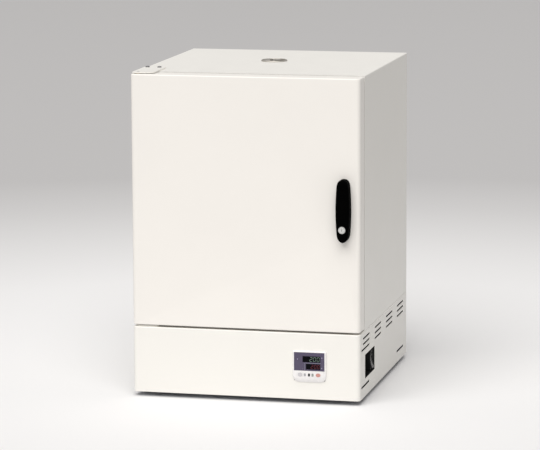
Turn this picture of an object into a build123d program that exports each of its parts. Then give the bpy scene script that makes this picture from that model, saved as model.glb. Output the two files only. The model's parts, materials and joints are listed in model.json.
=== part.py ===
"""Hot air sterilizer: a laboratory oven on a base that holds its controls.

Millimetres. +X is to the right, +Y to the back and +Z up. The origin is on the
floor, in the middle of the outline, and the front of the oven faces -Y.
"""

from build123d import *
from math import cos, radians, sin
import os

os.makedirs("parts", exist_ok=True)

# Chamber, as it is sold: the space above the heater cover
chamber_width = 450.0
chamber_height = 450.0
chamber_depth = 450.0
chamber_corner = 6.0
heater_space = 35.0

# Spaces from the chamber's faces to the outside of the cabinet
side_space = 60.0
floor_space = 70.0
ceiling_space = 70.0
rear_space = 93.0
wool = 50.0

# Base and feet
base_height = 163.0
base_corner = 10.0
base_edge = 2.5
foot_height = 12.0
foot_radius = 17.0
foot_inset_side = 23.0
foot_inset_front = 62.0
foot_inset_rear = 88.0

# Sheet metal
sheet = 1.2
liner_sheet = 1.0
casing_bend = 3.0
casing_seam_bend = 1.5
casing_flange = 20.0
rear_flange = 15.0
frame_flange = 12.0
liner_flange = 10.0
floor_flange = 12.0

# Clearances
seat = 0.3            # between pieces of different bodies
slip = 0.1            # between a fixed piece and the hole it passes through
running = 0.05        # between a shaft and its bore, on the radius
panel_play = 0.4      # between a cover and the sheet around it

# Door
door_thickness = 50.0
door_gap = 6.0        # between the door's inner panel and the cabinet's face
door_floor_gap = 5.0
door_top_gap = 1.5
door_corner = 10.0
door_edge = 3.0
door_flange = 12.0
door_wool_inset = 22.0
plug_depth = 20.0
plug_clearance = 10.0
plug_corner = 14.0
plug_draft = 8.0
gasket_width = 9.0
gasket_offset = 1.5   # from the edge of the chamber's mouth
gasket_corner = 10.0

# Hinge
hinge_inset_side = 15.0
hinge_inset_front = 22.0
pin_radius = 4.0
pin_depth = 14.0
bush_wall = 2.5
bush_flange = 3.5
plate_width = 55.0
plate_overhang = 12.0
plate_grip = 72.0
plate_thickness = 3.0
plate_edge_inset = 2.0
plate_nose = 22.0
plate_corner = 4.0
bracket_inset = 7.0

# Screws, as radius of the shank, radius of the head and height of the head
screw_shank = 2.0
screw_head = 4.5
screw_head_height = 2.8
screw_depth = 8.0
flat_head = 4.0
flat_head_height = 1.6

# Handle and lock
handle_width = 34.5
handle_height = 153.0
handle_reach = 30.0
handle_from_side = 38.5
handle_centre = 480.5
handle_neck = 14.5    # half the width where the ends begin
handle_crown = 14.5
handle_chin = 18.0
handle_dome = 10.0
handle_draw = 7.0     # how far the face is drawn in from the outline
grip_wall = 8.0
grip_cheek = 4.5
finger_drop = 22.5    # from the top of the handle
finger_clearance = 9.5
finger_corner = 6.0
handle_screw_inset = 11.0
lock_rise = 32.5      # from the lower end of the handle
lock_bore = 7.4
lock_wall = 1.2
core_proud = 1.0
core_length = 23.0
spindle_radius = 3.0
cam_length = 24.0
cam_width = 12.0
cam_thickness = 3.0
cam_gap = 2.0
keeper_depth = 14.0
keeper_room = 3.0
keeper_entry = 6.0    # extra width of the slot, towards the side where the cam catches

# Magnet catches
catch_from_side = 23.0
catch_width = 14.0
catch_height = 46.0
catch_spread = 170.0
catch_gap = 0.5
strike_thickness = 1.5
strike_border = 4.0
catch_body_depth = 12.0
catch_lug = 4.0
catch_lug_thickness = 2.0

# Heaters
heater_radius = 4.0
heater_rise = 18.0
heater_bend = 16.0
heater_leg_pitch = 60.0
heater_pitch = 125.0
heater_count = 3
heater_front_inset = 60.0
heater_rear_inset = 60.0
heater_tail = 25.0
bushing_wall = 3.0
bushing_flange = 4.0
bushing_flange_height = 2.0
cover_front_inset = 22.0
cover_rear_inset = 4.0
cover_side_inset = 3.0
cover_slot_length = 66.0
cover_slot_width = 8.0
cover_slots_across = 5
cover_slots_deep = 7

# Shelves
post_width = 20.0
post_depth = 6.0
post_sheet = 1.0
post_front_inset = 75.0
post_rear_inset = 80.0
post_floor_gap = 6.0
post_ceiling_gap = 18.0
post_pitch = 30.0
post_slot_width = 10.0
post_slot_height = 4.0
clip_width = 8.0
clip_thickness = 2.0
clip_reach = 13.0
clip_leg = 12.0
lower_shelf_slot = 4
upper_shelf_slot = 9
shelf_rear_gap = 6.0
shelf_front_gap = 21.0  # to the raised middle of the door
shelf_side_gap = 3.0
shelf_rod = 3.0
shelf_bar = 2.5
shelf_wire = 1.5
shelf_corner = 18.0
shelf_wires = 19
shelf_bars = 2

# Exhaust
vent_x = -6.0
vent_back = 345.0     # behind the door's front face
vent_radius = 33.0
vent_rim = 4.6
vent_height = 3.2
vent_bore = 26.0
vent_wall = 1.0
vent_spigot = 15.0
vent_turn = 151.0     # where the closed half points, in degrees from +X
vent_hub = 6.0
vent_floor = 0.8
damper_sheet = 0.8
damper_play = 0.5
damper_pin = 2.5
damper_head = 1.7
damper_tab_width = 12.0
damper_tab_height = 4.0
duct_wall = 1.2
duct_flange = 7.0

# Thermometer wells in the rear wall
probe_radius = 2.5
probe_collar = 8.0
probe_collar_height = 3.0
probe_length = 60.0
probe_tail = 12.0
probe_drop = 90.0
probe_spread = 60.0

# Base slots, in rows on both sides
slot_length = 80.0
slot_height = 5.0
slot_pitch = 145.0
slot_groups = 4
slot_front = 78.0
slot_rows = 3
slot_row_pitch = 13.4
slot_row_top = 147.0
long_slot_start = 19.0
low_slot_height = 28.5
low_slot_length = 97.0
low_rear_slot_start = 470.0
low_rear_slot_length = 85.0
floor_slot_width = 5.0
floor_slot_length = 90.0
floor_slots = 6
floor_slot_pitch = 40.0

# Power switch in the right side
pocket_front = 63.0
pocket_length = 121.0
pocket_low = 44.0
pocket_height = 59.0
pocket_depth = 26.0
pocket_wall = 2.0
rocker_length = 45.0
rocker_width = 24.0
rocker_sink = 2.5
rocker_pivot_depth = 12.0
rocker_hollow = 3.4
rocker_tilt = 4.0
rocker_pin = 1.5
rocker_room = 2.0
rocker_frame_wall = 2.0
rocker_frame_sink = 6.0
rocker_low = 5.0

# Controller in the front of the base
controller_from_side = 124.8
controller_low = 43.0
controller_width = 84.0
controller_height = 77.0
controller_reach = 5.0
controller_top_corner = 2.0
controller_low_corner = 16.0
bezel_lip = 1.6       # the straight edge next to the base
bezel_draw = 1.4
bezel_chin = 6.5      # how far the lower edge slopes back
bezel_wall = 6.0
bezel_face = 2.0
window_width = 76.0
window_height = 45.5
window_top = 3.0
window_depth = 1.2
case_wall = 2.0
case_play = 1.0
case_depth = 70.0
key_row = 18.5
key_proud = 0.8
key_flange = 1.0
key_travel = 0.5
key_stem = 1.5
tact_height = 2.0
tact_size = 4.0
board_thickness = 1.6
board_gap = 4.3
# name, offset from the controller's middle, width, height
key_layout = (
    ("key_mode", -22.7, 11.4, 9.0),
    ("key_left", -11.0, 4.6, 6.0),
    ("key_down", -0.5, 4.6, 6.6),
    ("key_up", 8.2, 4.6, 6.6),
    ("key_run", 22.1, 11.4, 8.6),
)

# Parts inside the base
heatsink_width = 110.0
heatsink_length = 90.0
heatsink_height = 32.0
heatsink_plate = 6.0
heatsink_fins = 8
heatsink_fin = 2.0
heatsink_from_side = 135.0
heatsink_front = 150.0
relay_width = 45.0
relay_length = 58.0
relay_height = 22.0
block_width = 90.0
block_length = 24.0
block_height = 20.0
block_poles = 4
block_from_side = 155.0
block_rear = 90.0
thermostat_width = 40.0
thermostat_length = 46.0
thermostat_height = 50.0
thermostat_x = -20.0
thermostat_front = 150.0

# Cord gland in the rear of the base
gland_from_side = 105.0
gland_height = 60.0
gland_bore = 4.6
gland_barrel = 7.5
gland_nut = 12.0
gland_nut_height = 6.0
gland_reach = 18.0
gland_inner = 10.0

# Places worked out from the sizes above
half = chamber_width / 2 + side_space
cabinet_depth = door_thickness + door_gap + sheet + chamber_depth + rear_space
front = -(cabinet_depth + gland_reach - handle_reach - core_proud) / 2
back = front + cabinet_depth
door_back = front + door_thickness
face = door_back + door_gap
chamber_front = face + sheet
chamber_back = chamber_front + chamber_depth
base_top = foot_height + base_height
chamber_floor = base_top + floor_space
cover_top = chamber_floor + heater_space
chamber_top = cover_top + chamber_height
cabinet_top = chamber_top + ceiling_space
chamber_half = chamber_width / 2
liner_height = chamber_top - chamber_floor
liner_middle = (chamber_top + chamber_floor) / 2
door_bottom = base_top + door_floor_gap
door_top = cabinet_top - door_top_gap
hinge_x = -half + hinge_inset_side
hinge_y = front + hinge_inset_front
handle_x = half - handle_from_side
lock_z = handle_centre - handle_height / 2 + lock_rise
lock_outer = lock_bore + lock_wall
cam_y = chamber_front + cam_gap
catch_x = half - catch_from_side
vent_y = front + vent_back
heatsink_x = -half + heatsink_from_side
block_x = half - block_from_side
gland_x = half - gland_from_side
controller_x = half - controller_from_side
post_ys = (chamber_front + post_front_inset, chamber_back - post_rear_inset)
post_low = cover_top + post_floor_gap
post_high = chamber_top - post_ceiling_gap
heater_xs = [(i - (heater_count - 1) / 2) * heater_pitch for i in range(heater_count)]
heater_rear = chamber_back - heater_rear_inset
leg_xs = [x + side * heater_leg_pitch / 2 for x in heater_xs for side in (-1, 1)]
bushing_radius = heater_radius + seat + bushing_wall
spigot_radius = vent_bore + vent_wall
duct_bore = spigot_radius + seat
duct_radius = duct_bore + duct_wall
controller_z = foot_height + controller_low + controller_height / 2
key_z = foot_height + controller_low + key_row
rocker_y = front + pocket_front + pocket_length - rocker_frame_wall - rocker_width / 2
rocker_y -= seat
rocker_z = foot_height + pocket_low + rocker_low + rocker_length / 2
pivot_x = half - rocker_pivot_depth
gland_z = foot_height + gland_height
foot_places = [
    (side * (half - foot_inset_side), y)
    for side in (-1, 1)
    for y in (front + foot_inset_front, back - foot_inset_rear)
]


def block(x, y, z):
    """A box between two values on each axis."""
    spans = (x, y, z)
    middle = [(low + high) / 2 for low, high in spans]
    return Pos(*middle) * Box(*[high - low for low, high in spans])


def bar(axis, at, span, radius):
    """A round bar along one axis; at holds its two other coordinates, in X, Y, Z order."""
    middle = (span[0] + span[1]) / 2
    places = {
        "X": Pos(middle, *at) * Rot(0, 90, 0),
        "Y": Pos(at[0], middle, at[1]) * Rot(90, 0, 0),
        "Z": Pos(*at, middle),
    }
    return places[axis] * Cylinder(radius, span[1] - span[0])


def tube(axis, at, span, radius, bore):
    return bar(axis, at, span, radius) - bar(axis, at, span, bore)


def slab(outline, y):
    """An outline drawn in X and Z, made solid between two Y values."""
    return extrude(at_depth(outline, y[1]), amount=y[1] - y[0])


def at_depth(outline, y):
    """An outline drawn in X and Z, at one Y value."""
    return Plane(origin=(0, y, 0), x_dir=(1, 0, 0), z_dir=(0, -1, 0)) * outline


def oblong(width, height, x=0.0, z=0.0, corner=0.0):
    """A rectangle in the plane of slab, with round corners where a radius is given."""
    shape = RectangleRounded(width, height, corner) if corner else Rectangle(width, height)
    return Pos(x, z) * shape


def side_slot(x, y, z, height):
    """A slot with round ends through a side wall."""
    radius = height / 2
    middle = block(x, (y[0] + radius, y[1] - radius), (z - radius, z + radius))
    ends = [bar("X", (end, z), x, radius) for end in (y[0] + radius, y[1] - radius)]
    return middle + ends


def group(solids):
    return Compound(list(solids))


def screw(axis, at, seat_at, way, head=screw_head, height=screw_head_height, depth=screw_depth):
    """A pan-head screw. Its head stands from seat_at in the sense of way, its shank goes the other way."""
    head_span = sorted((seat_at, seat_at + way * height))
    shank_span = sorted((seat_at - way * depth, seat_at + way * height / 2))
    return bar(axis, at, head_span, head) + bar(axis, at, shank_span, screw_shank)


# Cabinet


def casing_outline(inset=0.0):
    """The cabinet's section across its width."""
    width = 2 * (half - inset)
    height = cabinet_top - base_top - 2 * inset
    outline = Pos(0, (cabinet_top + base_top) / 2) * Rectangle(width, height)
    top = outline.vertices().group_by(Axis.Y)[-1]
    low = outline.vertices().group_by(Axis.Y)[0]
    outline = fillet(top, max(casing_bend - inset, 0.5))
    low = outline.vertices().group_by(Axis.Y)[0]
    return fillet(low, max(casing_seam_bend - inset, 0.3))


def rear_screw_places():
    """Screws along both sides and the top of the rear cover."""
    x = half - sheet - rear_flange / 2
    low = base_top + sheet + rear_flange
    high = cabinet_top - sheet - rear_flange
    sides = [(side * x, low + (high - low) * part) for side in (-1, 1) for part in (0, 0.5, 1)]
    top = cabinet_top - sheet - rear_flange / 2
    return sides + [(side * half / 3, top) for side in (-1, 1)]


def base_screw_places():
    x = half - sheet - 2 * rear_flange
    return [(side * x, foot_height + sheet + floor_flange / 2) for side in (-1, 0, 1)]


def upper_screw_places():
    left = -half + plate_edge_inset
    y = face + plate_grip - screw_head * 2
    return [(left + plate_width * part, y) for part in (0.17, 0.72)]


def lower_screw_places():
    y = (front + face) / 2
    left = hinge_x + pin_radius
    return [(left + plate_width * part, y) for part in (0.27, 0.55)]


def outer_casing():
    skin = slab(casing_outline() - casing_outline(sheet), (face, back))
    gap = half - casing_flange
    skin -= block((-gap, gap), (face - 1, back + 1), (base_top - 1, base_top + sheet + 1))
    lip = casing_outline(sheet) - casing_outline(sheet + rear_flange)
    skin += slab(lip, (back - 2 * sheet, back - sheet))
    lock_room = (cabinet_top - sheet - 1, cabinet_top + 1)
    skin -= bar("Z", (vent_x, vent_y), lock_room, spigot_radius + slip)
    for place in upper_screw_places():
        skin -= bar("Z", place, lock_room, screw_shank + slip)
    for place in rear_screw_places():
        skin -= bar("Y", place, (back - 2 * sheet - 1, back), screw_shank + slip)
    return skin


def rear_cover():
    plate = slab(casing_outline(sheet + panel_play), (back - sheet, back))
    for place in rear_screw_places():
        plate -= bar("Y", place, (back - sheet - 1, back + 1), screw_shank + slip)
    return plate


def front_frame():
    """The painted face round the chamber's mouth, with its edge turned back."""
    outline = casing_outline(sheet)
    mouth = oblong(chamber_width, liner_height, 0, liner_middle, chamber_corner)
    frame = slab(outline - mouth, (face, chamber_front))
    rim = outline - casing_outline(2 * sheet)
    frame += slab(rim, (face, face + frame_flange))
    through = (face - 1, chamber_front + 1)
    for z in catch_heights():
        frame -= slab(oblong(catch_width + 2 * slip, catch_height + 2 * slip, catch_x, z), through)
    low, high = keeper_span()
    left = keeper_sides()[0]
    width = cam_width + 2 * keeper_room + keeper_entry
    slot = oblong(width, high - low, left + width / 2, (low + high) / 2)
    return frame - slab(slot, through)


def keeper_span():
    """How far the cam's room reaches below and above the lock's axis."""
    tail = cam_width / 2 + keeper_room
    return lock_z - tail, lock_z + cam_length + keeper_room


def keeper_sides():
    tail = cam_width / 2 + keeper_room
    return handle_x - tail, handle_x + cam_length + keeper_room


def lock_keeper():
    """The cup behind the face that the lock's cam turns in."""
    low, high = keeper_span()
    left, right = keeper_sides()
    depth = (chamber_front, chamber_front + keeper_depth)
    wall = liner_sheet
    cup = block((left - wall, right + wall), depth, (low - wall, high + wall))
    return cup - block((left, right), (depth[0] - 1, depth[1] - wall), (low, high))


def catch_heights():
    return [liner_middle + side * catch_spread for side in (-1, 1)]


def magnet_catches():
    """Magnets that stand through the face, each on a lug behind it."""
    out = door_back + strike_thickness + catch_gap
    solids = []
    for z in catch_heights():
        magnet = slab(oblong(catch_width, catch_height, catch_x, z), (out, face + catch_body_depth))
        lug = oblong(catch_width + catch_lug, catch_height + 2 * catch_lug, catch_x, z)
        solids.append(magnet + slab(lug, (chamber_front, chamber_front + catch_lug_thickness)))
    return group(solids)


def chamber_liner():
    """The stainless chamber, open at the front, with a flange behind the face."""
    wide = chamber_width + 2 * liner_sheet
    tall = liner_height + 2 * liner_sheet
    inside = oblong(chamber_width, liner_height, 0, liner_middle, chamber_corner)
    outside = oblong(wide, tall, 0, liner_middle, chamber_corner + liner_sheet)
    liner = slab(outside - inside, (chamber_front, chamber_back))
    liner += slab(outside, (chamber_back, chamber_back + liner_sheet))
    grow = 2 * liner_flange
    flange = oblong(wide + grow, tall + grow, 0, liner_middle, chamber_corner + liner_flange)
    liner += slab(flange - inside, (chamber_front, chamber_front + liner_sheet))
    floor = (chamber_floor - liner_sheet - 1, chamber_floor + 1)
    for x in leg_xs:
        liner -= bar("Z", (x, heater_rear), floor, bushing_radius + slip)
    ceiling = (chamber_top - 1, chamber_top + liner_sheet + 1)
    liner -= bar("Z", (vent_x, vent_y), ceiling, duct_bore)
    for side in (-1, 1):
        place = (side * probe_spread, chamber_top - probe_drop)
        liner -= bar("Y", place, (chamber_back - 1, chamber_back + liner_sheet + 1), probe_radius + slip)
    return liner


def chamber_insulation():
    """Slabs of wool under, over, beside and behind the chamber."""
    out = chamber_half + liner_sheet
    inner = half - casing_flange - 1
    low = chamber_floor - liner_sheet
    high = chamber_top + liner_sheet
    start = chamber_front + liner_sheet
    end = chamber_back + liner_sheet
    floor = block((-inner, inner), (start, end), (base_top, low))
    rim = base_top + 2 * sheet + slip
    floor -= block((-half, half), (start - 1, face + frame_flange + slip), (base_top - 1, rim))
    for x in leg_xs:
        floor -= bar("Z", (x, heater_rear), (base_top - 1, low + 1), bushing_radius + slip)
    ceiling = block((-out, out), (start, end), (high, high + wool))
    ceiling -= bar("Z", (vent_x, vent_y), (high - 1, high + wool + 1), duct_radius + duct_flange + slip)
    left = block((-out - wool, -out), (start, end), (low, high + wool))
    right = block((out, out + wool), (start, end), (low, high + wool))
    span = keeper_span()
    sides = keeper_sides()
    wall = liner_sheet + slip
    deep = chamber_front + keeper_depth + slip
    room = ((sides[0] - wall, sides[1] + wall + wool), (start - 1, deep), (span[0] - wall, span[1] + wall))
    right -= block(*room)
    for z in catch_heights():
        grow = catch_height / 2 + catch_lug + slip
        wide = (catch_x - catch_width / 2 - catch_lug, catch_x + catch_width / 2 + catch_lug + wool)
        right -= block(wide, (start - 1, face + catch_body_depth + slip), (z - grow, z + grow))
    rear = block((-inner, inner), (end, end + wool), (base_top, high + wool))
    for side in (-1, 1):
        place = (side * probe_spread, chamber_top - probe_drop)
        rear -= bar("Y", place, (end - 1, end + wool + 1), probe_radius + slip)
    return group([floor, ceiling, left, right, rear])


def heater_elements():
    """Sheathed hairpins that lie over the chamber's floor, with their ends bent down through it."""
    low = base_top - heater_tail
    high = chamber_floor + heater_rise
    nose = chamber_front + heater_front_inset
    solids = []
    for x in heater_xs:
        left = x - heater_leg_pitch / 2
        right = x + heater_leg_pitch / 2
        path = FilletPolyline(
            (left, heater_rear, low),
            (left, heater_rear, high),
            (left, nose, high),
            (right, nose, high),
            (right, heater_rear, high),
            (right, heater_rear, low),
            radius=heater_bend,
        )
        section = Pos(left, heater_rear, low) * Circle(heater_radius)
        solids.append(sweep(section, path=path))
    return group(solids)


def heater_bushings():
    """Ceramic sleeves that the heaters' ends pass through."""
    low = base_top - sheet - bushing_flange_height
    top = chamber_floor + bushing_flange_height
    solids = []
    for x in leg_xs:
        place = (x, heater_rear)
        sleeve = bar("Z", place, (low, top), bushing_radius)
        sleeve += bar("Z", place, (chamber_floor, top), bushing_radius + bushing_flange)
        solids.append(sleeve - bar("Z", place, (low - 1, top + 1), heater_radius + seat))
    return group(solids)


def heater_cover_plate():
    """The slotted false floor over the heaters, on its two turned-down edges."""
    wide = chamber_half - cover_side_inset
    leg = wide - chamber_corner
    near = chamber_front + cover_front_inset
    far = chamber_back - cover_rear_inset
    plate = block((-wide, wide), (near, far), (cover_top - liner_sheet, cover_top))
    for y in (near, far - liner_sheet):
        plate += block((-leg, leg), (y, y + liner_sheet), (chamber_floor, cover_top))
    pitch_x = 2 * wide / cover_slots_across
    pitch_y = (far - near) / (cover_slots_deep + 1)
    radius = cover_slot_width / 2
    through = (cover_top - liner_sheet - 1, cover_top + 1)
    reach = cover_slot_length / 2 - radius
    for i in range(cover_slots_across):
        x = -wide + pitch_x * (i + 0.5)
        for j in range(cover_slots_deep):
            y = near + pitch_y * (j + 1)
            plate -= block((x - reach, x + reach), (y - radius, y + radius), through)
            for end in (-reach, reach):
                plate -= bar("Z", (x + end, y), through, radius)
    return plate


def post_slot(index):
    """Height of the middle of one slot in a shelf post."""
    return post_low + post_pitch * (index + 0.5)


def shelf_posts():
    """Slotted channels on the chamber's side walls."""
    count = int((post_high - post_low) / post_pitch)
    solids = []
    for side in (-1, 1):
        wall = side * chamber_half
        web = side * (chamber_half - post_depth)
        inner = side * (chamber_half - post_depth + post_sheet)
        for y in post_ys:
            edge = (y - post_width / 2, y + post_width / 2)
            hollow = (edge[0] + post_sheet, edge[1] - post_sheet)
            post = block(sorted((web, wall)), edge, (post_low, post_high))
            post -= block(sorted((inner, wall + side)), hollow, (post_low - 1, post_high + 1))
            slot = (y - post_slot_width / 2, y + post_slot_width / 2)
            for index in range(count):
                z = post_slot(index)
                gap = (z - post_slot_height / 2, z + post_slot_height / 2)
                post -= block(sorted((web - side, inner + side * 0.5)), slot, gap)
            solids.append(post)
    return group(solids)


def clip_top(index):
    return post_slot(index) + clip_thickness / 2


def shelf_clips():
    """Brackets hooked into the posts, four to a shelf."""
    solids = []
    for index in (lower_shelf_slot, upper_shelf_slot):
        top = clip_top(index)
        for side in (-1, 1):
            web = side * (chamber_half - post_depth)
            inner = web + side * post_sheet
            tip = web - side * clip_reach
            hook = inner + side * clip_thickness
            for y in post_ys:
                span = (y - clip_width / 2, y + clip_width / 2)
                clip = block(sorted((tip, hook)), span, (top - clip_thickness, top))
                leg = sorted((web, web - side * clip_thickness))
                clip += block(leg, span, (top - clip_leg, top))
                clip += block(sorted((inner, hook)), span, (top - clip_leg / 2, top))
                solids.append(clip)
    return group(solids)


def shelf(index):
    """A wire shelf: a frame of rod with two cross bars, and wires welded on top of them."""
    z = clip_top(index) + seat + shelf_rod
    reach = chamber_half - post_depth - shelf_side_gap - shelf_rod
    far = chamber_back - shelf_rear_gap - shelf_rod
    near = door_back + plug_depth + shelf_front_gap + shelf_rod
    straight = reach - shelf_corner
    rods = []
    for y in (near, far):
        rods.append(bar("X", (y, z), (-straight, straight), shelf_rod))
    for side in (-1, 1):
        rods.append(bar("Y", (side * reach, z), (near + shelf_corner, far - shelf_corner), shelf_rod))
    bend = revolve(Pos(shelf_corner, 0, 0) * Rot(90, 0, 0) * Circle(shelf_rod), Axis.Z, 90)
    corners = (
        (straight, far - shelf_corner, 0),
        (-straight, far - shelf_corner, 90),
        (-straight, near + shelf_corner, 180),
        (straight, near + shelf_corner, 270),
    )
    rods += [Pos(x, y, z) * Rot(0, 0, turn) * bend for x, y, turn in corners]
    top = z + shelf_rod
    for i in range(shelf_bars):
        y = near + (far - near) * (i + 1) / (shelf_bars + 1)
        inner = reach - shelf_rod
        rods.append(bar("X", (y, top - shelf_bar), (-inner, inner), shelf_bar))
    for i in range(shelf_wires):
        x = straight * (2 * i / (shelf_wires - 1) - 1)
        rods.append(bar("Y", (x, top + shelf_wire), (near - shelf_wire, far + shelf_wire), shelf_wire))
    return group(rods)


def temperature_well(side):
    """A probe that reaches into the chamber through its rear wall."""
    place = (side * probe_spread, chamber_top - probe_drop)
    tail = chamber_back + liner_sheet + wool + probe_tail
    probe = bar("Y", place, (chamber_back - probe_length, tail), probe_radius)
    collar = (chamber_back - probe_collar_height, chamber_back)
    return probe + bar("Y", place, collar, probe_collar)


# Exhaust


def exhaust_duct():
    place = (vent_x, vent_y)
    low = chamber_top + liner_sheet
    high = cabinet_top - sheet
    duct = bar("Z", place, (low, high), duct_radius)
    duct += bar("Z", place, (low, low + liner_sheet), duct_radius + duct_flange)
    return duct - bar("Z", place, (low - 1, high + 1), duct_bore)


def half_disc(radius, z):
    """A disc cut off along a line past its middle, on the vent's closed side."""
    disc = Pos(0, 0, (z[0] + z[1]) / 2) * Cylinder(radius, z[1] - z[0])
    keep = block((-vent_hub, radius + 1), (-radius - 1, radius + 1), (z[0] - 1, z[1] + 1))
    return Pos(vent_x, vent_y, 0) * Rot(0, 0, vent_turn) * (disc & keep)


def vent_flange():
    """The round escutcheon on the cabinet's top, half closed, with the damper's rivet."""
    rim = vent_radius - vent_rim
    ledge = vent_floor + slip
    with BuildPart() as ring:
        with BuildSketch(Plane.XZ):
            with BuildLine():
                Polyline(
                    (vent_bore, -vent_spigot),
                    (spigot_radius, -vent_spigot),
                    (spigot_radius, 0),
                    (vent_radius, 0),
                    (vent_radius, vent_height * 0.4),
                    (vent_radius - vent_rim * 0.35, vent_height),
                    (rim + vent_rim * 0.2, vent_height),
                    (rim, vent_height * 0.7),
                    (rim, ledge),
                    (vent_bore, ledge),
                    close=True,
                )
            make_face()
        revolve(axis=Axis.Z)
    flange = Pos(vent_x, vent_y, cabinet_top) * ring.part
    flange += half_disc(vent_bore + vent_wall / 2, (cabinet_top + slip, cabinet_top + ledge))
    place = (vent_x, vent_y)
    disc_low, disc_high = damper_span()
    flange += bar("Z", place, (cabinet_top + slip, disc_high + seat + damper_sheet), damper_pin)
    head = (disc_high + seat, disc_high + seat + damper_sheet)
    return flange + bar("Z", place, head, damper_pin + damper_head)


def damper_span():
    low = cabinet_top + vent_floor + slip + seat
    return low, low + damper_sheet


def damper_disc():
    """The half disc that turns over the opening, with a tab to turn it by."""
    low, high = damper_span()
    radius = vent_radius - vent_rim - damper_play
    disc = half_disc(radius, (low, high))
    reach = radius * 0.62
    edge = (-vent_hub, -vent_hub + damper_sheet)
    tab = block(edge, (reach - damper_tab_width / 2, reach + damper_tab_width / 2), (low, high + damper_tab_height))
    disc += Pos(vent_x, vent_y, 0) * Rot(0, 0, vent_turn) * tab
    return disc - bar("Z", (vent_x, vent_y), (low - 1, high + 1), damper_pin + running)


# Base


def base_outline(inset=0.0):
    """The base's plan, with round corners at the front."""
    width = 2 * (half - inset)
    plan = Pos(0, (front + back) / 2 + inset / 2) * Rectangle(width, back - front - inset)
    return fillet(plan.vertices().group_by(Axis.Y)[0], base_corner - inset)


def base_shell():
    """The base's front, sides and top in one sheet, open below and behind."""
    shell = extrude(Pos(0, 0, foot_height) * base_outline(), amount=base_height)
    edges = shell.faces().sort_by(Axis.Z)[-1].edges()
    edges = edges.sort_by(Axis.Y)[:-1]
    shell = fillet(edges, base_edge)
    shell -= extrude(Pos(0, 0, foot_height) * base_outline(sheet), amount=base_height - sheet)
    shell -= block((-half + sheet, half - sheet), (back - sheet - 1, back + 1), (foot_height, base_top - sheet))
    roof = (base_top - sheet - 1, base_top + 1)
    for x in leg_xs:
        shell -= bar("Z", (x, heater_rear), roof, bushing_radius + slip)
    for place in lower_screw_places():
        shell -= bar("Z", place, roof, screw_shank + slip)
    for side in (-1, 1):
        shell -= side_slots(side)
    right = (half - sheet - 1, half + 1)
    y, z = pocket_spans()
    shell -= block(right, y, z)
    wide = controller_width - 2 * bezel_wall + 2 * (case_wall + case_play)
    tall = controller_height - 2 * bezel_wall + 2 * (case_wall + case_play)
    shell -= slab(oblong(wide, tall, controller_x, controller_z), (front - 1, front + sheet + 1))
    return shell


def side_slots(side):
    """The rows of slots in one side of the base, as solids to cut away."""
    wall = sorted((side * (half - sheet - 1), side * (half + 1)))
    cuts = []
    for i in range(slot_groups):
        middle = front + slot_front + slot_pitch * i
        for row in range(slot_rows):
            z = foot_height + slot_row_top - slot_row_pitch * row
            start = middle - slot_length / 2
            if i == 0 and row == slot_rows - 1:
                start = front + long_slot_start
            cuts.append(side_slot(wall, (start, middle + slot_length / 2), z, slot_height))
    z = foot_height + low_slot_height
    start = front + long_slot_start
    cuts.append(side_slot(wall, (start, start + low_slot_length), z, slot_height))
    start = front + low_rear_slot_start
    cuts.append(side_slot(wall, (start, start + low_rear_slot_length), z, slot_height))
    return cuts


def base_floor():
    """The tray that closes the base below and carries the electrical parts."""
    plan = base_outline(sheet)
    cut = back - sheet
    inside = base_outline(2 * sheet)
    tray = extrude(Pos(0, 0, foot_height) * plan, amount=floor_flange)
    tray -= extrude(Pos(0, 0, foot_height + sheet) * inside, amount=floor_flange)
    tray -= block((-half, half), (cut, back + 1), (foot_height - 1, foot_height + floor_flange + 1))
    lip = (-half + 2 * sheet, half - 2 * sheet)
    tray += block(lip, (cut - sheet, cut), (foot_height, foot_height + floor_flange))
    for place in foot_places:
        tray -= bar("Z", place, (foot_height - 1, foot_height + sheet + 1), screw_shank + slip)
    for place in base_screw_places():
        tray -= bar("Y", place, (cut - sheet - 1, cut + 1), screw_shank + slip)
    for side in (-1, 1):
        for i in range(floor_slots):
            y = (front + back) / 2 + (i - (floor_slots - 1) / 2) * floor_slot_pitch
            x = sorted((side * half * 0.25, side * (half * 0.25 + floor_slot_length)))
            tray -= block(x, (y, y + floor_slot_width), (foot_height - 1, foot_height + sheet + 1))
    return tray


def base_rear_panel():
    wide = half - sheet - panel_play
    z = (foot_height + panel_play, base_top - sheet - panel_play)
    panel = block((-wide, wide), (back - sheet, back), z)
    for place in base_screw_places():
        panel -= bar("Y", place, (back - sheet - 1, back + 1), screw_shank + slip)
    return panel - bar("Y", (gland_x, gland_z), (back - sheet - 1, back + 1), gland_barrel + slip)


def feet():
    """Rubber feet, narrower at the floor, with a recess for the screw's head."""
    solids = []
    for x, y in foot_places:
        foot = Pos(x, y, foot_height / 2) * Rot(180, 0, 0) * Cone(foot_radius, foot_radius - 2, foot_height)
        foot -= bar("Z", (x, y), (-1, foot_height / 2), screw_head + 1)
        solids.append(foot - bar("Z", (x, y), (-1, foot_height + 1), screw_shank + slip))
    return group(solids)


def foot_screws():
    depth = foot_height / 2 + sheet + screw_depth
    seat_at = foot_height / 2
    return group(screw("Z", place, seat_at, -1, depth=depth) for place in foot_places)


def rear_screws():
    places = rear_screw_places() + base_screw_places()
    return group(screw("Y", place, back, 1, height=2.2) for place in places)


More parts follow.
